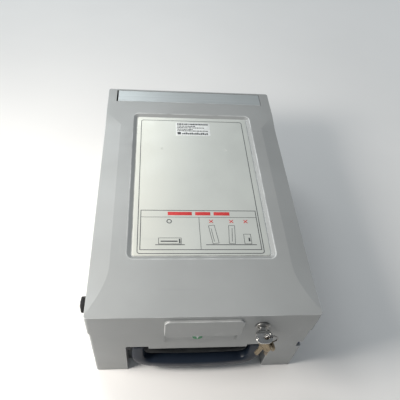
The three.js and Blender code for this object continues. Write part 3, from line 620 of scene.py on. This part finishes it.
def plate_mesh(name, outlines, thickness, edge, place):
    """A flat plate of closed outlines in mm, holes included, with rounded edges. It is built in
    its own XY plane, half its thickness to each side, and then moved by the matrix place."""
    curve = bpy.data.curves.new(name, "CURVE")
    curve.dimensions = "2D"
    curve.fill_mode = "BOTH"
    curve.extrude = (thickness / 2 - edge) * MM
    curve.bevel_depth = edge * MM
    curve.bevel_resolution = 2
    curve.offset = -edge * MM
    for outline in outlines:
        spline = curve.splines.new("POLY")
        spline.points.add(len(outline) - 1)
        for point, (x, y) in zip(spline.points, outline):
            point.co = (x * MM, y * MM, 0, 1)
        spline.use_cyclic_u = True
    carrier = bpy.data.objects.new(name, curve)
    bpy.context.scene.collection.objects.link(carrier)
    bpy.context.view_layer.update()
    evaluated = carrier.evaluated_get(bpy.context.evaluated_depsgraph_get())
    mesh = bpy.data.meshes.new_from_object(evaluated)
    bpy.data.objects.remove(carrier)
    bpy.data.curves.remove(curve)
    mesh.name = name
    bm = bmesh.new()
    bm.from_mesh(mesh)
    bmesh.ops.remove_doubles(bm, verts=bm.verts, dist=CURVE_SEAM)
    bmesh.ops.recalc_face_normals(bm, faces=bm.faces)
    bm.to_mesh(mesh)
    bm.free()
    mesh.transform(place)
    return mesh


def block_mesh(name, blocks):
    """Several blocks as one mesh, each given by two corners in mm. Their edges are rounded by a
    share of the block's smallest side."""
    bm = bmesh.new()
    for low, high in blocks:
        centre = (mm(*low) + mm(*high)) / 2
        size = mm(*high) - mm(*low)
        place = Matrix.Translation(centre) @ Matrix.Diagonal((*size, 1))
        made = bmesh.ops.create_cube(bm, size=1, matrix=place)
        edges = list(dict.fromkeys(edge for vert in made["verts"] for edge in vert.link_edges))
        bmesh.ops.bevel(bm, geom=edges, offset=BLOCK_ROUNDING * min(size), offset_type="OFFSET",
                        segments=2, profile=0.5, affect="EDGES")
    mesh = bpy.data.meshes.new(name)
    bm.to_mesh(mesh)
    bm.free()
    return mesh


# ---------------------------------------------------------------- handle
# The bail hangs from two pivots. Its arms run straight down, lean forward and turn through
# corners into the grip. All in mm.
SECTION_POINTS = 20
SECTION_POWER = 0.62
PIVOT_INSET = 6
ARM_INSET = 7.5
# Sections are (width, depth).
ARM_SECTION = (14, 12)
CORNER_SECTION = (15, 12.5)
GRIP_SECTION = (16.2, 13)
MIDDLE_SECTION = (16.4, 13)
# An arm's stations at its upper end: height over the pivot and section.
ARM_TOP = ((5.2, (7.0, 8.0)), (4.4, (11.5, 10.5)), (2, (13.6, 11.6)), (-6, ARM_SECTION))
CORNER_RADIUS = 17
CORNER_STEPS = 7
GRIP_Z = 22.6
GRIP_SAG = 0.9
GRIP_STEPS = 8
# The arms lean forward over this stretch of height.
LEAN_TOP = 56
LEAN_HEIGHT = 30
LEAN_FORWARD = 3.6
# Where the lean is over this share, the bail bows forward round its middle and is deeper there.
BOW_FROM_LEAN = 0.9
BOW_MIDDLE_X = -2
BOW_HALF = 62
BOW_FORWARD = 1.6
BOW_SWELL = 1.4


def handle_section(width, depth):
    """A rounded section, squarer than an ellipse: points (across, back to front)."""
    ring = []
    for i in range(SECTION_POINTS):
        a = TAU * i / SECTION_POINTS
        c, s = math.cos(a), math.sin(a)
        ring.append((
            width / 2 * math.copysign(abs(c) ** SECTION_POWER, c),
            depth / 2 * math.copysign(abs(s) ** SECTION_POWER, s),
        ))
    return ring


def handle_path():
    """Centre line of the bail in its own plane: (x, z, width, depth)."""
    low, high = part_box("handle")
    left, right = low.x / MM, high.x / MM
    middle = (left + right) / 2
    half = (right - left) / 2 - ARM_INSET
    pivot_z = high.z / MM - PIVOT_INSET
    corner = CORNER_RADIUS
    stations = [(-half, pivot_z + up, *section) for up, section in ARM_TOP]
    stations.append((-half, GRIP_Z + corner + 2, *ARM_SECTION))
    for x, z in arc(-half + corner, GRIP_Z + corner, corner, 180, 270, CORNER_STEPS)[1:]:
        stations.append((x, z, *CORNER_SECTION))
    inner = half - corner
    for step in range(1, GRIP_STEPS):
        x = -inner + inner * step / GRIP_STEPS
        stations.append((x, GRIP_Z - GRIP_SAG * (1 - (x / inner) ** 2), *GRIP_SECTION))
    stations.append((0, GRIP_Z - GRIP_SAG, *MIDDLE_SECTION))
    mirrored = [(-x, z, w, d) for x, z, w, d in reversed(stations[:-1])]
    return [(middle + x, z, w, d) for x, z, w, d in stations + mirrored]


def make_handle(paints):
    pivot_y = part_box("handle")[1].y / MM - PIVOT_INSET
    stations = handle_path()
    rings = []
    for i, (x, z, width, depth) in enumerate(stations):
        before = stations[max(0, i - 1)]
        after = stations[min(len(stations) - 1, i + 1)]
        along = Vector((after[0] - before[0], 0, after[1] - before[1])).normalized()
        across = Vector((along.z, 0, -along.x))
        lean = min(1, max(0, (LEAN_TOP - z) / LEAN_HEIGHT))
        on_grip = lean > BOW_FROM_LEAN
        bow = max(0, 1 - ((x - BOW_MIDDLE_X) / BOW_HALF) ** 2) if on_grip else 0
        centre = mm(x, pivot_y - LEAN_FORWARD * lean - BOW_FORWARD * bow, z)
        section = handle_section(width, depth + BOW_SWELL * bow)
        rings.append([centre + across * a * MM + mm(0, -b, 0) for a, b in section])
    mesh = loft_mesh("handle_bail", rings)
    bail = piece("handle_bail", mesh, paints["handle"], "handle")
    smooth = bail.modifiers.new("smooth", "SUBSURF")
    smooth.levels = smooth.render_levels = 2
    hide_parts("handle")


# ---------------------------------------------------------------- keys
# The ring hangs in the lock key's bow, and the two spare keys hang on the ring. All in mm.
RING_Y = -197
RING_CENTRE = mm(68, RING_Y, 112.6)
RING_RADIUS = 8
RING_WIRE = 0.74
RING_STEPS = 96
WIRE_POINTS = 10
# Each spare key's place along the ring, its two angles in radians, its bow's radius and its
# length below the eye.
SPARE_KEYS = {
    "spare_key_left": {"along": -2.8, "turn": 0.6, "lean": 0.16, "bow": 9, "length": 33},
    "spare_key_right": {"along": 2.2, "turn": 0.45, "lean": -0.02, "bow": 8.5, "length": 34},
}
# A spare key's eye, and how far it hangs below the ring's centre line.
EYE_RADIUS = 2.6
EYE_INSET = 3.4
EYE_DROP = 1.2
BLADE_WIDTH = 5.2
BLADE_SHOULDER = 1.5
TIP_CHAMFER = 2
BIT_CHAMFER = 1.6
BIT_COUNT = 5
BIT_DEPTHS = (0.4, 1.7)
# Each plate's thickness and the rounding of its edges.
BLANK_PLATE = (1.5, 0.3)
RIM_PLATE = (1.9, 0.2)
RIB_PLATE = (1.85, 0.12)
BOW_PLATE = (2.1, 0.5)
RIDGE_PLATE = (2.5, 0.15)
SHANK_PLATE = (1.2, 0.2)
# Plan of the lock key, level in its keyway: its bow ends behind at BOW_BACK_Y.
BOW_BACK_Y = -189.0
BOW_HALF_WIDTH = 8.9
BOW_CORNER = 6.2
LOCK_EYE_X = 2
LOCK_EYE_RADIUS = 2.9
SHANK_HALF_WIDTH = 2.7
SHANK_TIP_HALF = 1.4
SHANK_END_Y = -172


def key_outline(bow_r, bow_centre, length, seed):
    """Bow at the top and a bitted blade below, hanging along -Y of the plate's own plane."""
    half = BLADE_WIDTH / 2
    neck = math.degrees(math.asin(half / bow_r))
    outline = arc(0, -bow_centre, bow_r, -90 + neck, 270 - neck, 40)
    rng = random.Random(seed)
    shoulder = -bow_centre - bow_r - BLADE_SHOULDER
    tip = -length
    outline += [(-half, shoulder), (-half, tip + TIP_CHAMFER), (-half + TIP_CHAMFER, tip),
                (half - BIT_CHAMFER, tip)]
    # The cuts start just above the tip and end below the shoulder.
    pitch = (shoulder - 2 - tip) / BIT_COUNT
    place = tip + 0.6
    for _ in range(BIT_COUNT):
        depth = rng.uniform(*BIT_DEPTHS)
        outline += [(half, place), (half - depth, place + pitch * 0.35),
                    (half - depth, place + pitch * 0.6)]
        place += pitch
    outline += [(half, place), (half, shoulder)]
    return outline


def hang_matrix(turn, lean, hole):
    """The plane of a hanging key: its own Y runs up the key, its Z is the plate's normal."""
    place = Matrix.Translation(hole)
    upright = Matrix.Rotation(math.radians(90), 4, "Y") @ Matrix.Rotation(math.radians(90), 4, "Z")
    return place @ Matrix.Rotation(lean, 4, "Y") @ Matrix.Rotation(turn, 4, "Z") @ upright


def key_part(name, outlines, plate, place, paints, node):
    mesh = plate_mesh(name, outlines, *plate, place)
    return piece(name, mesh, paints["key_brass"], node)


def make_spare_keys(paints):
    """Each is a blank with its eye, a raised rim round the bow and a rib along the blade."""
    for seed, (node, key) in enumerate(SPARE_KEYS.items(), 3):
        drop = math.sqrt(RING_RADIUS ** 2 - key["along"] ** 2) - EYE_DROP
        hole = RING_CENTRE + mm(key["along"], 0, -drop)
        place = hang_matrix(key["turn"], key["lean"], hole)
        bow = key["bow"]
        centre = bow - EYE_INSET
        outline = key_outline(bow - 0.1, centre, key["length"], seed)
        eye = circle(0, 0, EYE_RADIUS, 24)
        blank = key_part(f"{node}_plate", [outline, eye], BLANK_PLATE, place, paints, node)
        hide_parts(node)
        rim = [circle(0, -centre, bow - 1.1, 40), circle(0, -centre, bow - 2.2, 40)]
        key_part(f"{node}_rim", rim, RIM_PLATE, place, paints, node)
        rib = [rounded(-1.5, -0.7, -key["length"] + 2.5, -centre - bow + 1, 0.3, 3)]
        key_part(f"{node}_rib", rib, RIB_PLATE, place, paints, node)


def make_lock_key(paints):
    """The key in the lock: a bow with its eye, a ridge round the bow, and the shank."""
    low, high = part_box("lock_key")
    x = (low.x + high.x) / 2 / MM
    z = (low.z + high.z) / 2 / MM
    y0, y1 = low.y / MM, BOW_BACK_Y
    place = Matrix.Translation(mm(0, 0, z))
    bow = rounded(x - BOW_HALF_WIDTH, x + BOW_HALF_WIDTH, y0 + 0.1, y1 - 0.1, BOW_CORNER, 10)
    eye = circle(x + LOCK_EYE_X, RING_Y, LOCK_EYE_RADIUS, 28)
    head = plate_mesh("lock_key_bow", [bow, eye], *BOW_PLATE, place)
    made = piece("lock_key_bow", head, paints["key_nickel"], "key_barrel")
    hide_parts("lock_key")
    ring = [rounded(x - 7.4, x + 7.4, y0 + 1.6, y1 - 1.6, 4.9, 10),
            rounded(x - 6.7, x + 6.7, y0 + 2.3, y1 - 2.3, 4.3, 10)]
    ridge = plate_mesh("lock_key_ridge", ring, *RIDGE_PLATE, place)
    piece("lock_key_ridge", ridge, paints["key_nickel"], "key_barrel")
    side, tip, end = SHANK_HALF_WIDTH, SHANK_TIP_HALF, SHANK_END_Y
    shank = [(x - side, y1 - 1), (x + side, y1 - 1), (x + side, end - 1), (x + tip, end),
             (x - tip, end), (x - side, end - 1)]
    blade = plate_mesh("lock_key_blade", [shank], *SHANK_PLATE, place)
    piece("lock_key_blade", blade, paints["key_nickel"], "key_barrel")


def make_key_ring(paints):
    """One closed turn of round wire."""
    rings = []
    for i in range(RING_STEPS):
        turn = TAU * i / RING_STEPS
        ring = []
        for k in range(WIRE_POINTS):
            a = TAU * k / WIRE_POINTS
            radius = RING_RADIUS + RING_WIRE * math.cos(a)
            side = RING_WIRE * math.sin(a)
            ring.append(RING_CENTRE + mm(radius * math.cos(turn), side, radius * math.sin(turn)))
        rings.append(ring)
    mesh = loft_mesh("split_ring", rings, closed=True)
    made = piece("split_ring", mesh, paints["ring_steel"], "key_ring")
    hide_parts("key_ring")


# ---------------------------------------------------------------- wheels and rollers
# Each kind's material slot, bore radius, shoulder radius, and its grooves' number and depth,
# in mm.
TREADS = {
    "side_wheel": {"slot": "wheel", "bore": 2.8, "edge": 1.2, "grooves": 2, "depth": 0.5},
    "pick_roller": {"slot": "roller_rubber", "bore": 4.3, "edge": 0.6, "grooves": 7, "depth": 0.5},
    "feed_roller": {"slot": "roller_rubber", "bore": 4.3, "edge": 0.5, "grooves": 6, "depth": 0.4},
    "pinch_roller": {"slot": "roller_rubber", "bore": 2.8, "edge": 0.5, "grooves": 3, "depth": 0.3},
}
SHOULDER_ANGLES = (0.4, 0.9, 1.35)
WHEEL_SEGMENTS = 56
WHEEL_CRISP = math.radians(28)


def tyre_profile(r_in, r_out, x0, x1, tread):
    """Closed profile of a wheel with round shoulders and grooves round its tread."""
    edge, depth = tread["edge"], tread["depth"]
    points = [(r_in, x0), (r_out - edge, x0)]
    points += [(r_out - edge + edge * math.sin(a), x0 + edge - edge * math.cos(a))
               for a in SHOULDER_ANGLES]
    width = x1 - x0 - 2 * edge
    half = depth * 0.7
    floor_half = half * 0.4
    for g in range(tread["grooves"]):
        middle = x0 + edge + width * (g + 1) / (tread["grooves"] + 1)
        points += [(r_out, middle - half), (r_out - depth, middle - floor_half),
                   (r_out - depth, middle + floor_half), (r_out, middle + half)]
    points += [(r_out - edge + edge * math.sin(a), x1 - edge + edge * math.cos(a))
               for a in reversed(SHOULDER_ANGLES)]
    points += [(r_out - edge, x1), (r_in, x1)]
    return [(r * MM, x * MM) for r, x in points]


def make_wheel(kind, side, body, paints):
    """A tread turned round the node's own X axis, to the node's width and outer radius."""
    tread = TREADS[kind]
    node = f"{kind}_{side}"
    low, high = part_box(node)
    radius = (high.y - low.y) / 2 / MM
    profile = tyre_profile(tread["bore"], radius, low.x / MM, high.x / MM, tread)
    centre = (0, (low.y + high.y) / 2, (low.z + high.z) / 2)
    mesh = lathe_mesh(f"{node}_tread", profile, "x", centre, WHEEL_SEGMENTS)
    made = piece(f"{node}_tread", mesh, paints[tread["slot"]], body)
    sharpen(made, WHEEL_CRISP)
    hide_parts(node)


def sharpen(thing, limit):
    """Keeps edges sharper than this angle crisp under smooth shading."""
    bm = bmesh.new()
    bm.from_mesh(thing.data)
    for edge in bm.edges:
        edge.smooth = len(edge.link_faces) == 2 and edge.calc_face_angle() < limit
    bm.to_mesh(thing.data)
    bm.free()


def make_wheels(paints):
    for side in ("left", "right"):
        make_wheel("side_wheel", side, f"side_wheel_{side}", paints)
    for side in ("left", "centre", "right"):
        make_wheel("pick_roller", side, "pick", paints)
    for side in ("left", "right"):
        make_wheel("feed_roller", side, "feed", paints)
        make_wheel("pinch_roller", side, "pinch", paints)


# ---------------------------------------------------------------- label
# Prints lie on the label plate, drawn in the object's own X and Y in mm. Rectangles are given
# as (x0, x1, y0, y1).
INK_THICKNESS = 0.1
INK_EDGE = 0.02
# Heights of the layers of ink over the plate, so that prints that cross don't flicker.
INK_LIFT = 0.02
DETAIL_LIFT = 0.03
CROSS_LIFT = 0.06
LINE = 0.8
FINE_LINE = 0.5
FRAME_BOX = (-71.2, 71.7, -108.2, 117.2)
TABLE_BOX = (-68.2, 69.2, -103.2, -46.6)
TABLE_RULES = ((-67.4, 68.4, -57.3, -56.8), (-0.25, 0.25, -102.4, -57.5))
WORD_BARS = ((-36.5, -8, -54.2, -49.2), (-4, 14, -54.2, -49.2), (18, 37, -54.2, -49.2))
CROSS_PLACES = (14, 38, 55)
CROSS_HALF = 1.9
CROSS_LOW, CROSS_HIGH = -65, -61.2
CROSS_LINE = 0.9
RING_SIGN = (-35, -63.2)
RING_SIGN_RADII = (3.1, 2.1)
GROUND_LINES = ((-51, -18, -96.6, -95.7), (6, 64, -96.6, -95.7))
# Small pictures of the cassette, lying and standing: middle, base, width, height, tilt in degrees.
PICTURES = ((-34.5, -95.2, 26, 8.6, 0), (17.5, -94.6, 7.5, 26, 8), (36, -94.8, 7.5, 26, -4),
            (54.5, -95.2, 8.5, 14, 0))
STICKER_BOX = (-23, 25, 86, 112.5)
STICKER_THICKNESS = 0.16
STICKER_INK = 0.06
STICKER_TEXT_X = (-21.0, 23)
# Bottom, height and right end of each row of bars.
STICKER_ROWS = ((108.2, 3.0, 23), (104.6, 1.7, 4), (101.4, 1.7, 16), (98.0, 1.8, 1),
                (94.8, 1.8, 22))
STICKER_BLOCK = (-21, -16.2, 88, 93)
CODE_BARS = 14
CODE_START_X = -14.5
CODE_PITCH = 2.6
CODE_WIDTH = 2
DIMPLES = {"left": -43, "right": 44}
DIMPLE_Y = 59
DIMPLE_PROFILE = ((NEAR_AXIS, 0), (2.0, 0), (1.7, 0.1), (NEAR_AXIS, 0.22))
# The status disc's arrow, about the disc's centre.
ARROW = ((-0.7, -3), (0.7, -3), (0.7, 1), (2, 1), (0, 3.4), (-2, 1), (-0.7, 1))


def label_top():
    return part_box("label_plate")[1].z / MM


def print_piece(name, outlines, paint, lift=INK_LIFT, thick=INK_THICKNESS):
    """A layer of ink on the label plate."""
    place = Matrix.Translation(mm(0, 0, label_top() + lift + thick / 2))
    return piece(name, plate_mesh(name, outlines, thick, INK_EDGE, place), paint, "lid")


def frame_line(box, r, width):
    """A closed line as an outline and its hole."""
    x0, x1, y0, y1 = box
    return [rounded(x0, x1, y0, y1, r),
            rounded(x0 + width, x1 - width, y0 + width, y1 - width, max(0.1, r - width))]


def bar(x0, x1, y0, y1):
    return [(x0, y0), (x1, y0), (x1, y1), (x0, y1)]


def stroke(x0, y0, x1, y1, width):
    """A straight ink stroke between two points."""
    along = Vector((x1 - x0, y1 - y0)).normalized() * width / 2
    side = Vector((-along.y, along.x))
    start, end = Vector((x0, y0)) - along, Vector((x1, y1)) + along
    return [tuple(corner) for corner in (start + side, start - side, end - side, end + side)]


def tilted_box(cx, base, width, height, tilt):
    """Outline of a small box standing on a line, as an outline and its hole."""
    turn = Matrix.Rotation(math.radians(tilt), 2)
    line = FINE_LINE
    outer = []
    inner = []
    for sx, sy in ((-1, 0), (1, 0), (1, 1), (-1, 1)):
        a = turn @ Vector((sx * width / 2, sy * height))
        b = turn @ Vector((sx * (width / 2 - line), line + sy * (height - 2 * line)))
        outer.append((cx + a.x, base + a.y))
        inner.append((cx + b.x, base + b.y))
    return [outer, inner]


def make_label_table(ink):
    """The frame round the plate, and the ruled table at its front."""
    print_piece("label_frame_line", frame_line(FRAME_BOX, 3.5, LINE), ink)
    print_piece("label_table_line", frame_line(TABLE_BOX, 0.3, LINE), ink)
    print_piece("label_table_rules", [bar(*box) for box in TABLE_RULES], ink)


def make_label_signs(ink, red):
    """Bars in place of the words, three crosses and a ring. A cross's two strokes lie on two
    layers, because outlines that overlap in one layer would cut each other out."""
    print_piece("label_red_bars", [bar(*box) for box in WORD_BARS], red)
    crosses = []
    for x in CROSS_PLACES:
        x0, x1 = x - CROSS_HALF, x + CROSS_HALF
        rising = stroke(x0, CROSS_LOW, x1, CROSS_HIGH, CROSS_LINE)
        print_piece(f"label_cross_{x}_a", [rising], red)
        crosses.append(stroke(x0, CROSS_HIGH, x1, CROSS_LOW, CROSS_LINE))
    print_piece("label_crosses_b", crosses, red, CROSS_LIFT)
    print_piece("label_ring", [circle(*RING_SIGN, radius, 30) for radius in RING_SIGN_RADII], ink)


def make_label_pictures(ink):
    """Four small cassettes on two ground lines, with marks inside them."""
    outlines = [outline for picture in PICTURES for outline in tilted_box(*picture)]
    print_piece("label_boxes", outlines, ink)
    inner = [bar(-45, -26, -92.2, -90.6), bar(-24.5, -22.8, -94, -88)]
    inner += [stroke(15.8, -91.5, 13.4, -74, FINE_LINE), stroke(36.4, -91.5, 37.9, -73, FINE_LINE)]
    inner += [bar(55.5, 57.3, -91.5, -86.5)]
    print_piece("label_box_details", inner, ink, DETAIL_LIFT)
    print_piece("label_ground_lines", [bar(*box) for box in GROUND_LINES], ink, DETAIL_LIFT)


def make_sticker(paints):
    """A plain white sticker with rows of dark bars, and no lettering."""
    paper = [rounded(*STICKER_BOX, 0.8, 3)]
    print_piece("sticker", paper, paints["white_film"], INK_LIFT, STICKER_THICKNESS)
    over_paper = INK_LIFT + STICKER_THICKNESS + 0.01
    rng = random.Random(11)
    start, limit = STICKER_TEXT_X
    rows = []
    for y, height, end in STICKER_ROWS:
        x = start
        while x < end:
            width = rng.uniform(1.0, 3.4)
            rows.append(bar(x, min(limit, x + width), y, y + height))
            x += width + rng.uniform(0.45, 0.8)
    print_piece("sticker_rows", rows, paints["black_ink"], over_paper, STICKER_INK)
    blocks = [bar(*STICKER_BLOCK)]
    for i in range(CODE_BARS):
        x = CODE_START_X + CODE_PITCH * i
        blocks.append(bar(x, x + CODE_WIDTH, 88.2, 91.0 + (i % 3) * 0.7))
    print_piece("sticker_code", blocks, paints["black_ink"], over_paper, STICKER_INK)


def make_dimples(paints):
    """Two flat blisters on the label plate."""
    profile = [(r * MM, z * MM) for r, z in DIMPLE_PROFILE]
    for side, x in DIMPLES.items():
        centre = mm(x, DIMPLE_Y, label_top() + 0.01)
        dome = lathe_mesh(f"label_dimple_{side}", profile, "z", centre, 24)
        piece(f"label_dimple_{side}", dome, paints["label"], "lid")


def make_disc_mark(paints):
    """A white arrow on the status disc."""
    low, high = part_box("status_disc")
    cx, cz = (low.x + high.x) / 2 / MM, (low.z + high.z) / 2 / MM
    lift = Matrix.Translation(Vector((0, low.y - 0.06 * MM, 0)))
    place = lift @ Matrix.Rotation(math.radians(90), 4, "X")
    arrow = [(cx + x, cz + z) for x, z in ARROW]
    mesh = plate_mesh("status_mark", [arrow], 0.12, 0.02, place)
    piece("status_mark", mesh, paints["white_film"], "case")


# ---------------------------------------------------------------- inside
# All in mm.
RIB_HALF = 0.8
LID_CEILING = 134.6
LID_RIB_DROP = 2.6
LID_CROSS_RIB_DROP = LID_RIB_DROP * 0.92
LID_RIB_X = (-112, 112)
LID_RIB_Y = (-175, 148)
LID_RIBS_ALONG = (-100, -66, -33, 0, 33, 66, 100)
LID_RIBS_ACROSS = (-150, -110, -70, -30, 10, 50, 90, 130)
CASE_RIBS = (-120, -80, -40, 0)
CASE_RIB_X = (113.4, 116.1)
CASE_RIB_Z = (3, 96)
BOARD_THICKNESS = 1.6
BOARD_PARTS = 46
BOARD_MARGIN = 4
BOARD_PADS = 16
PAD_PITCH = 5.6
SCREW_PLACES = (-150, -70, -1, 70, 118)
SCREW_Z = 10
SCREW_LIFT = 0.05
# A pan head's profile: (radius, height over the sheet).
SCREW_PROFILE = ((NEAR_AXIS, 0), (2.6, 0), (2.6, 0.5), (2.236, 1.05), (1.3, 1.35), (NEAR_AXIS, 1.4))
TOOTH_PITCH = 3.0
TOOTH_LENGTH = 1.3
TOOTH_HALF_WIDTH = 2.9


def make_lid_ribs(paints):
    """Stiffening ribs under the lid's top skin. The ribs across are a little shallower."""
    blocks = []
    (left, right), (front, back) = LID_RIB_X, LID_RIB_Y
    for x in LID_RIBS_ALONG:
        blocks.append(((x - RIB_HALF, front, LID_CEILING - LID_RIB_DROP),
                       (x + RIB_HALF, back, LID_CEILING)))
    for y in LID_RIBS_ACROSS:
        blocks.append(((left, y - RIB_HALF, LID_CEILING - LID_CROSS_RIB_DROP),
                       (right, y + RIB_HALF, LID_CEILING)))
    mesh = block_mesh("lid_ribs", blocks)
    piece("lid_ribs", mesh, paints["shell"], "lid", smooth=False)


def make_case_ribs(paints):
    """Upright ribs on the case's inner side walls, clear of the board and the gears."""
    near, far = CASE_RIB_X
    low, high = CASE_RIB_Z
    blocks = []
    for y in CASE_RIBS:
        blocks.append(((-far, y - RIB_HALF, low), (-near, y + RIB_HALF, high)))
        blocks.append(((near, y - RIB_HALF, low), (far, y + RIB_HALF, high)))
    mesh = block_mesh("case_ribs", blocks)
    piece("case_ribs", mesh, paints["shell"], "case", smooth=False)


def make_board_details(paints):
    """Small parts scattered over the circuit board, and a row of contact pads at its top."""
    low, high = (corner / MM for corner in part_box("circuit_board"))
    face = high.x - BOARD_THICKNESS
    rng = random.Random(5)
    parts = []
    for _ in range(BOARD_PARTS):
        y = rng.uniform(low.y + BOARD_MARGIN, high.y - BOARD_MARGIN)
        z = rng.uniform(low.z + BOARD_MARGIN, high.z - BOARD_MARGIN)
        half = rng.choice((1.0, 1.6, 2.4)) / 2
        parts.append(((face - 0.7, y - half, z - 0.6), (face + 0.05, y + half, z + 0.6)))
    mesh = block_mesh("board_parts", parts)
    piece("board_parts", mesh, paints["black_plastic"], "case", smooth=False)
    pads = []
    for i in range(BOARD_PADS):
        y = low.y + 8 + i * PAD_PITCH
        pads.append(((face - 0.12, y, high.z - 4), (face + 0.02, y + 2.6, high.z - 1)))
    mesh = block_mesh("board_pads", pads)
    piece("board_pads", mesh, paints["gold"], "case", smooth=False)


def make_frame_screws(paints):
    """Pan heads along the foot of each side frame, on its inner face."""
    for side, sign in (("left", -1), ("right", 1)):
        low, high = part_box(f"side_frame_{side}")
        inner = high.x if sign < 0 else low.x
        profile = [(r * MM, -sign * h * MM) for r, h in SCREW_PROFILE]
        for i, y in enumerate(SCREW_PLACES):
            centre = (inner - sign * SCREW_LIFT * MM, y * MM, SCREW_Z * MM)
            name = f"frame_screw_{side}_{i}"
            mesh = lathe_mesh(name, profile, "x", centre, 28)
            piece(name, mesh, paints["steel"], "case")


def make_belt_teeth(paints):
    """Teeth on the inside of the pusher belt's two straight runs."""
    low, high = (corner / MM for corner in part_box("pusher_belt"))
    heights = ((high.z - 2.0, high.z - 1.3), (low.z + 1.1, low.z + 1.9))
    teeth = []
    y = low.y + 8
    while y < high.y - 8:
        for bottom, top in heights:
            teeth.append(((-TOOTH_HALF_WIDTH, y, bottom),
                          (TOOTH_HALF_WIDTH, y + TOOTH_LENGTH, top)))
        y += TOOTH_PITCH
    mesh = block_mesh("belt_teeth", teeth)
    piece("belt_teeth", mesh, paints["belt"], "case", smooth=False)


def main():
    make_camera()
    paints = make_materials()
    dress_nodes(paints)
    make_handle(paints)
    make_lock_key(paints)
    make_key_ring(paints)
    make_spare_keys(paints)
    make_wheels(paints)
    make_label_table(paints["black_ink"])
    make_label_signs(paints["black_ink"], paints["red_ink"])
    make_label_pictures(paints["black_ink"])
    make_sticker(paints)
    make_dimples(paints)
    make_disc_mark(paints)
    make_lid_ribs(paints)
    make_case_ribs(paints)
    make_board_details(paints)
    make_frame_screws(paints)
    make_belt_teeth(paints)
    make_floor()
    make_lights()


main()
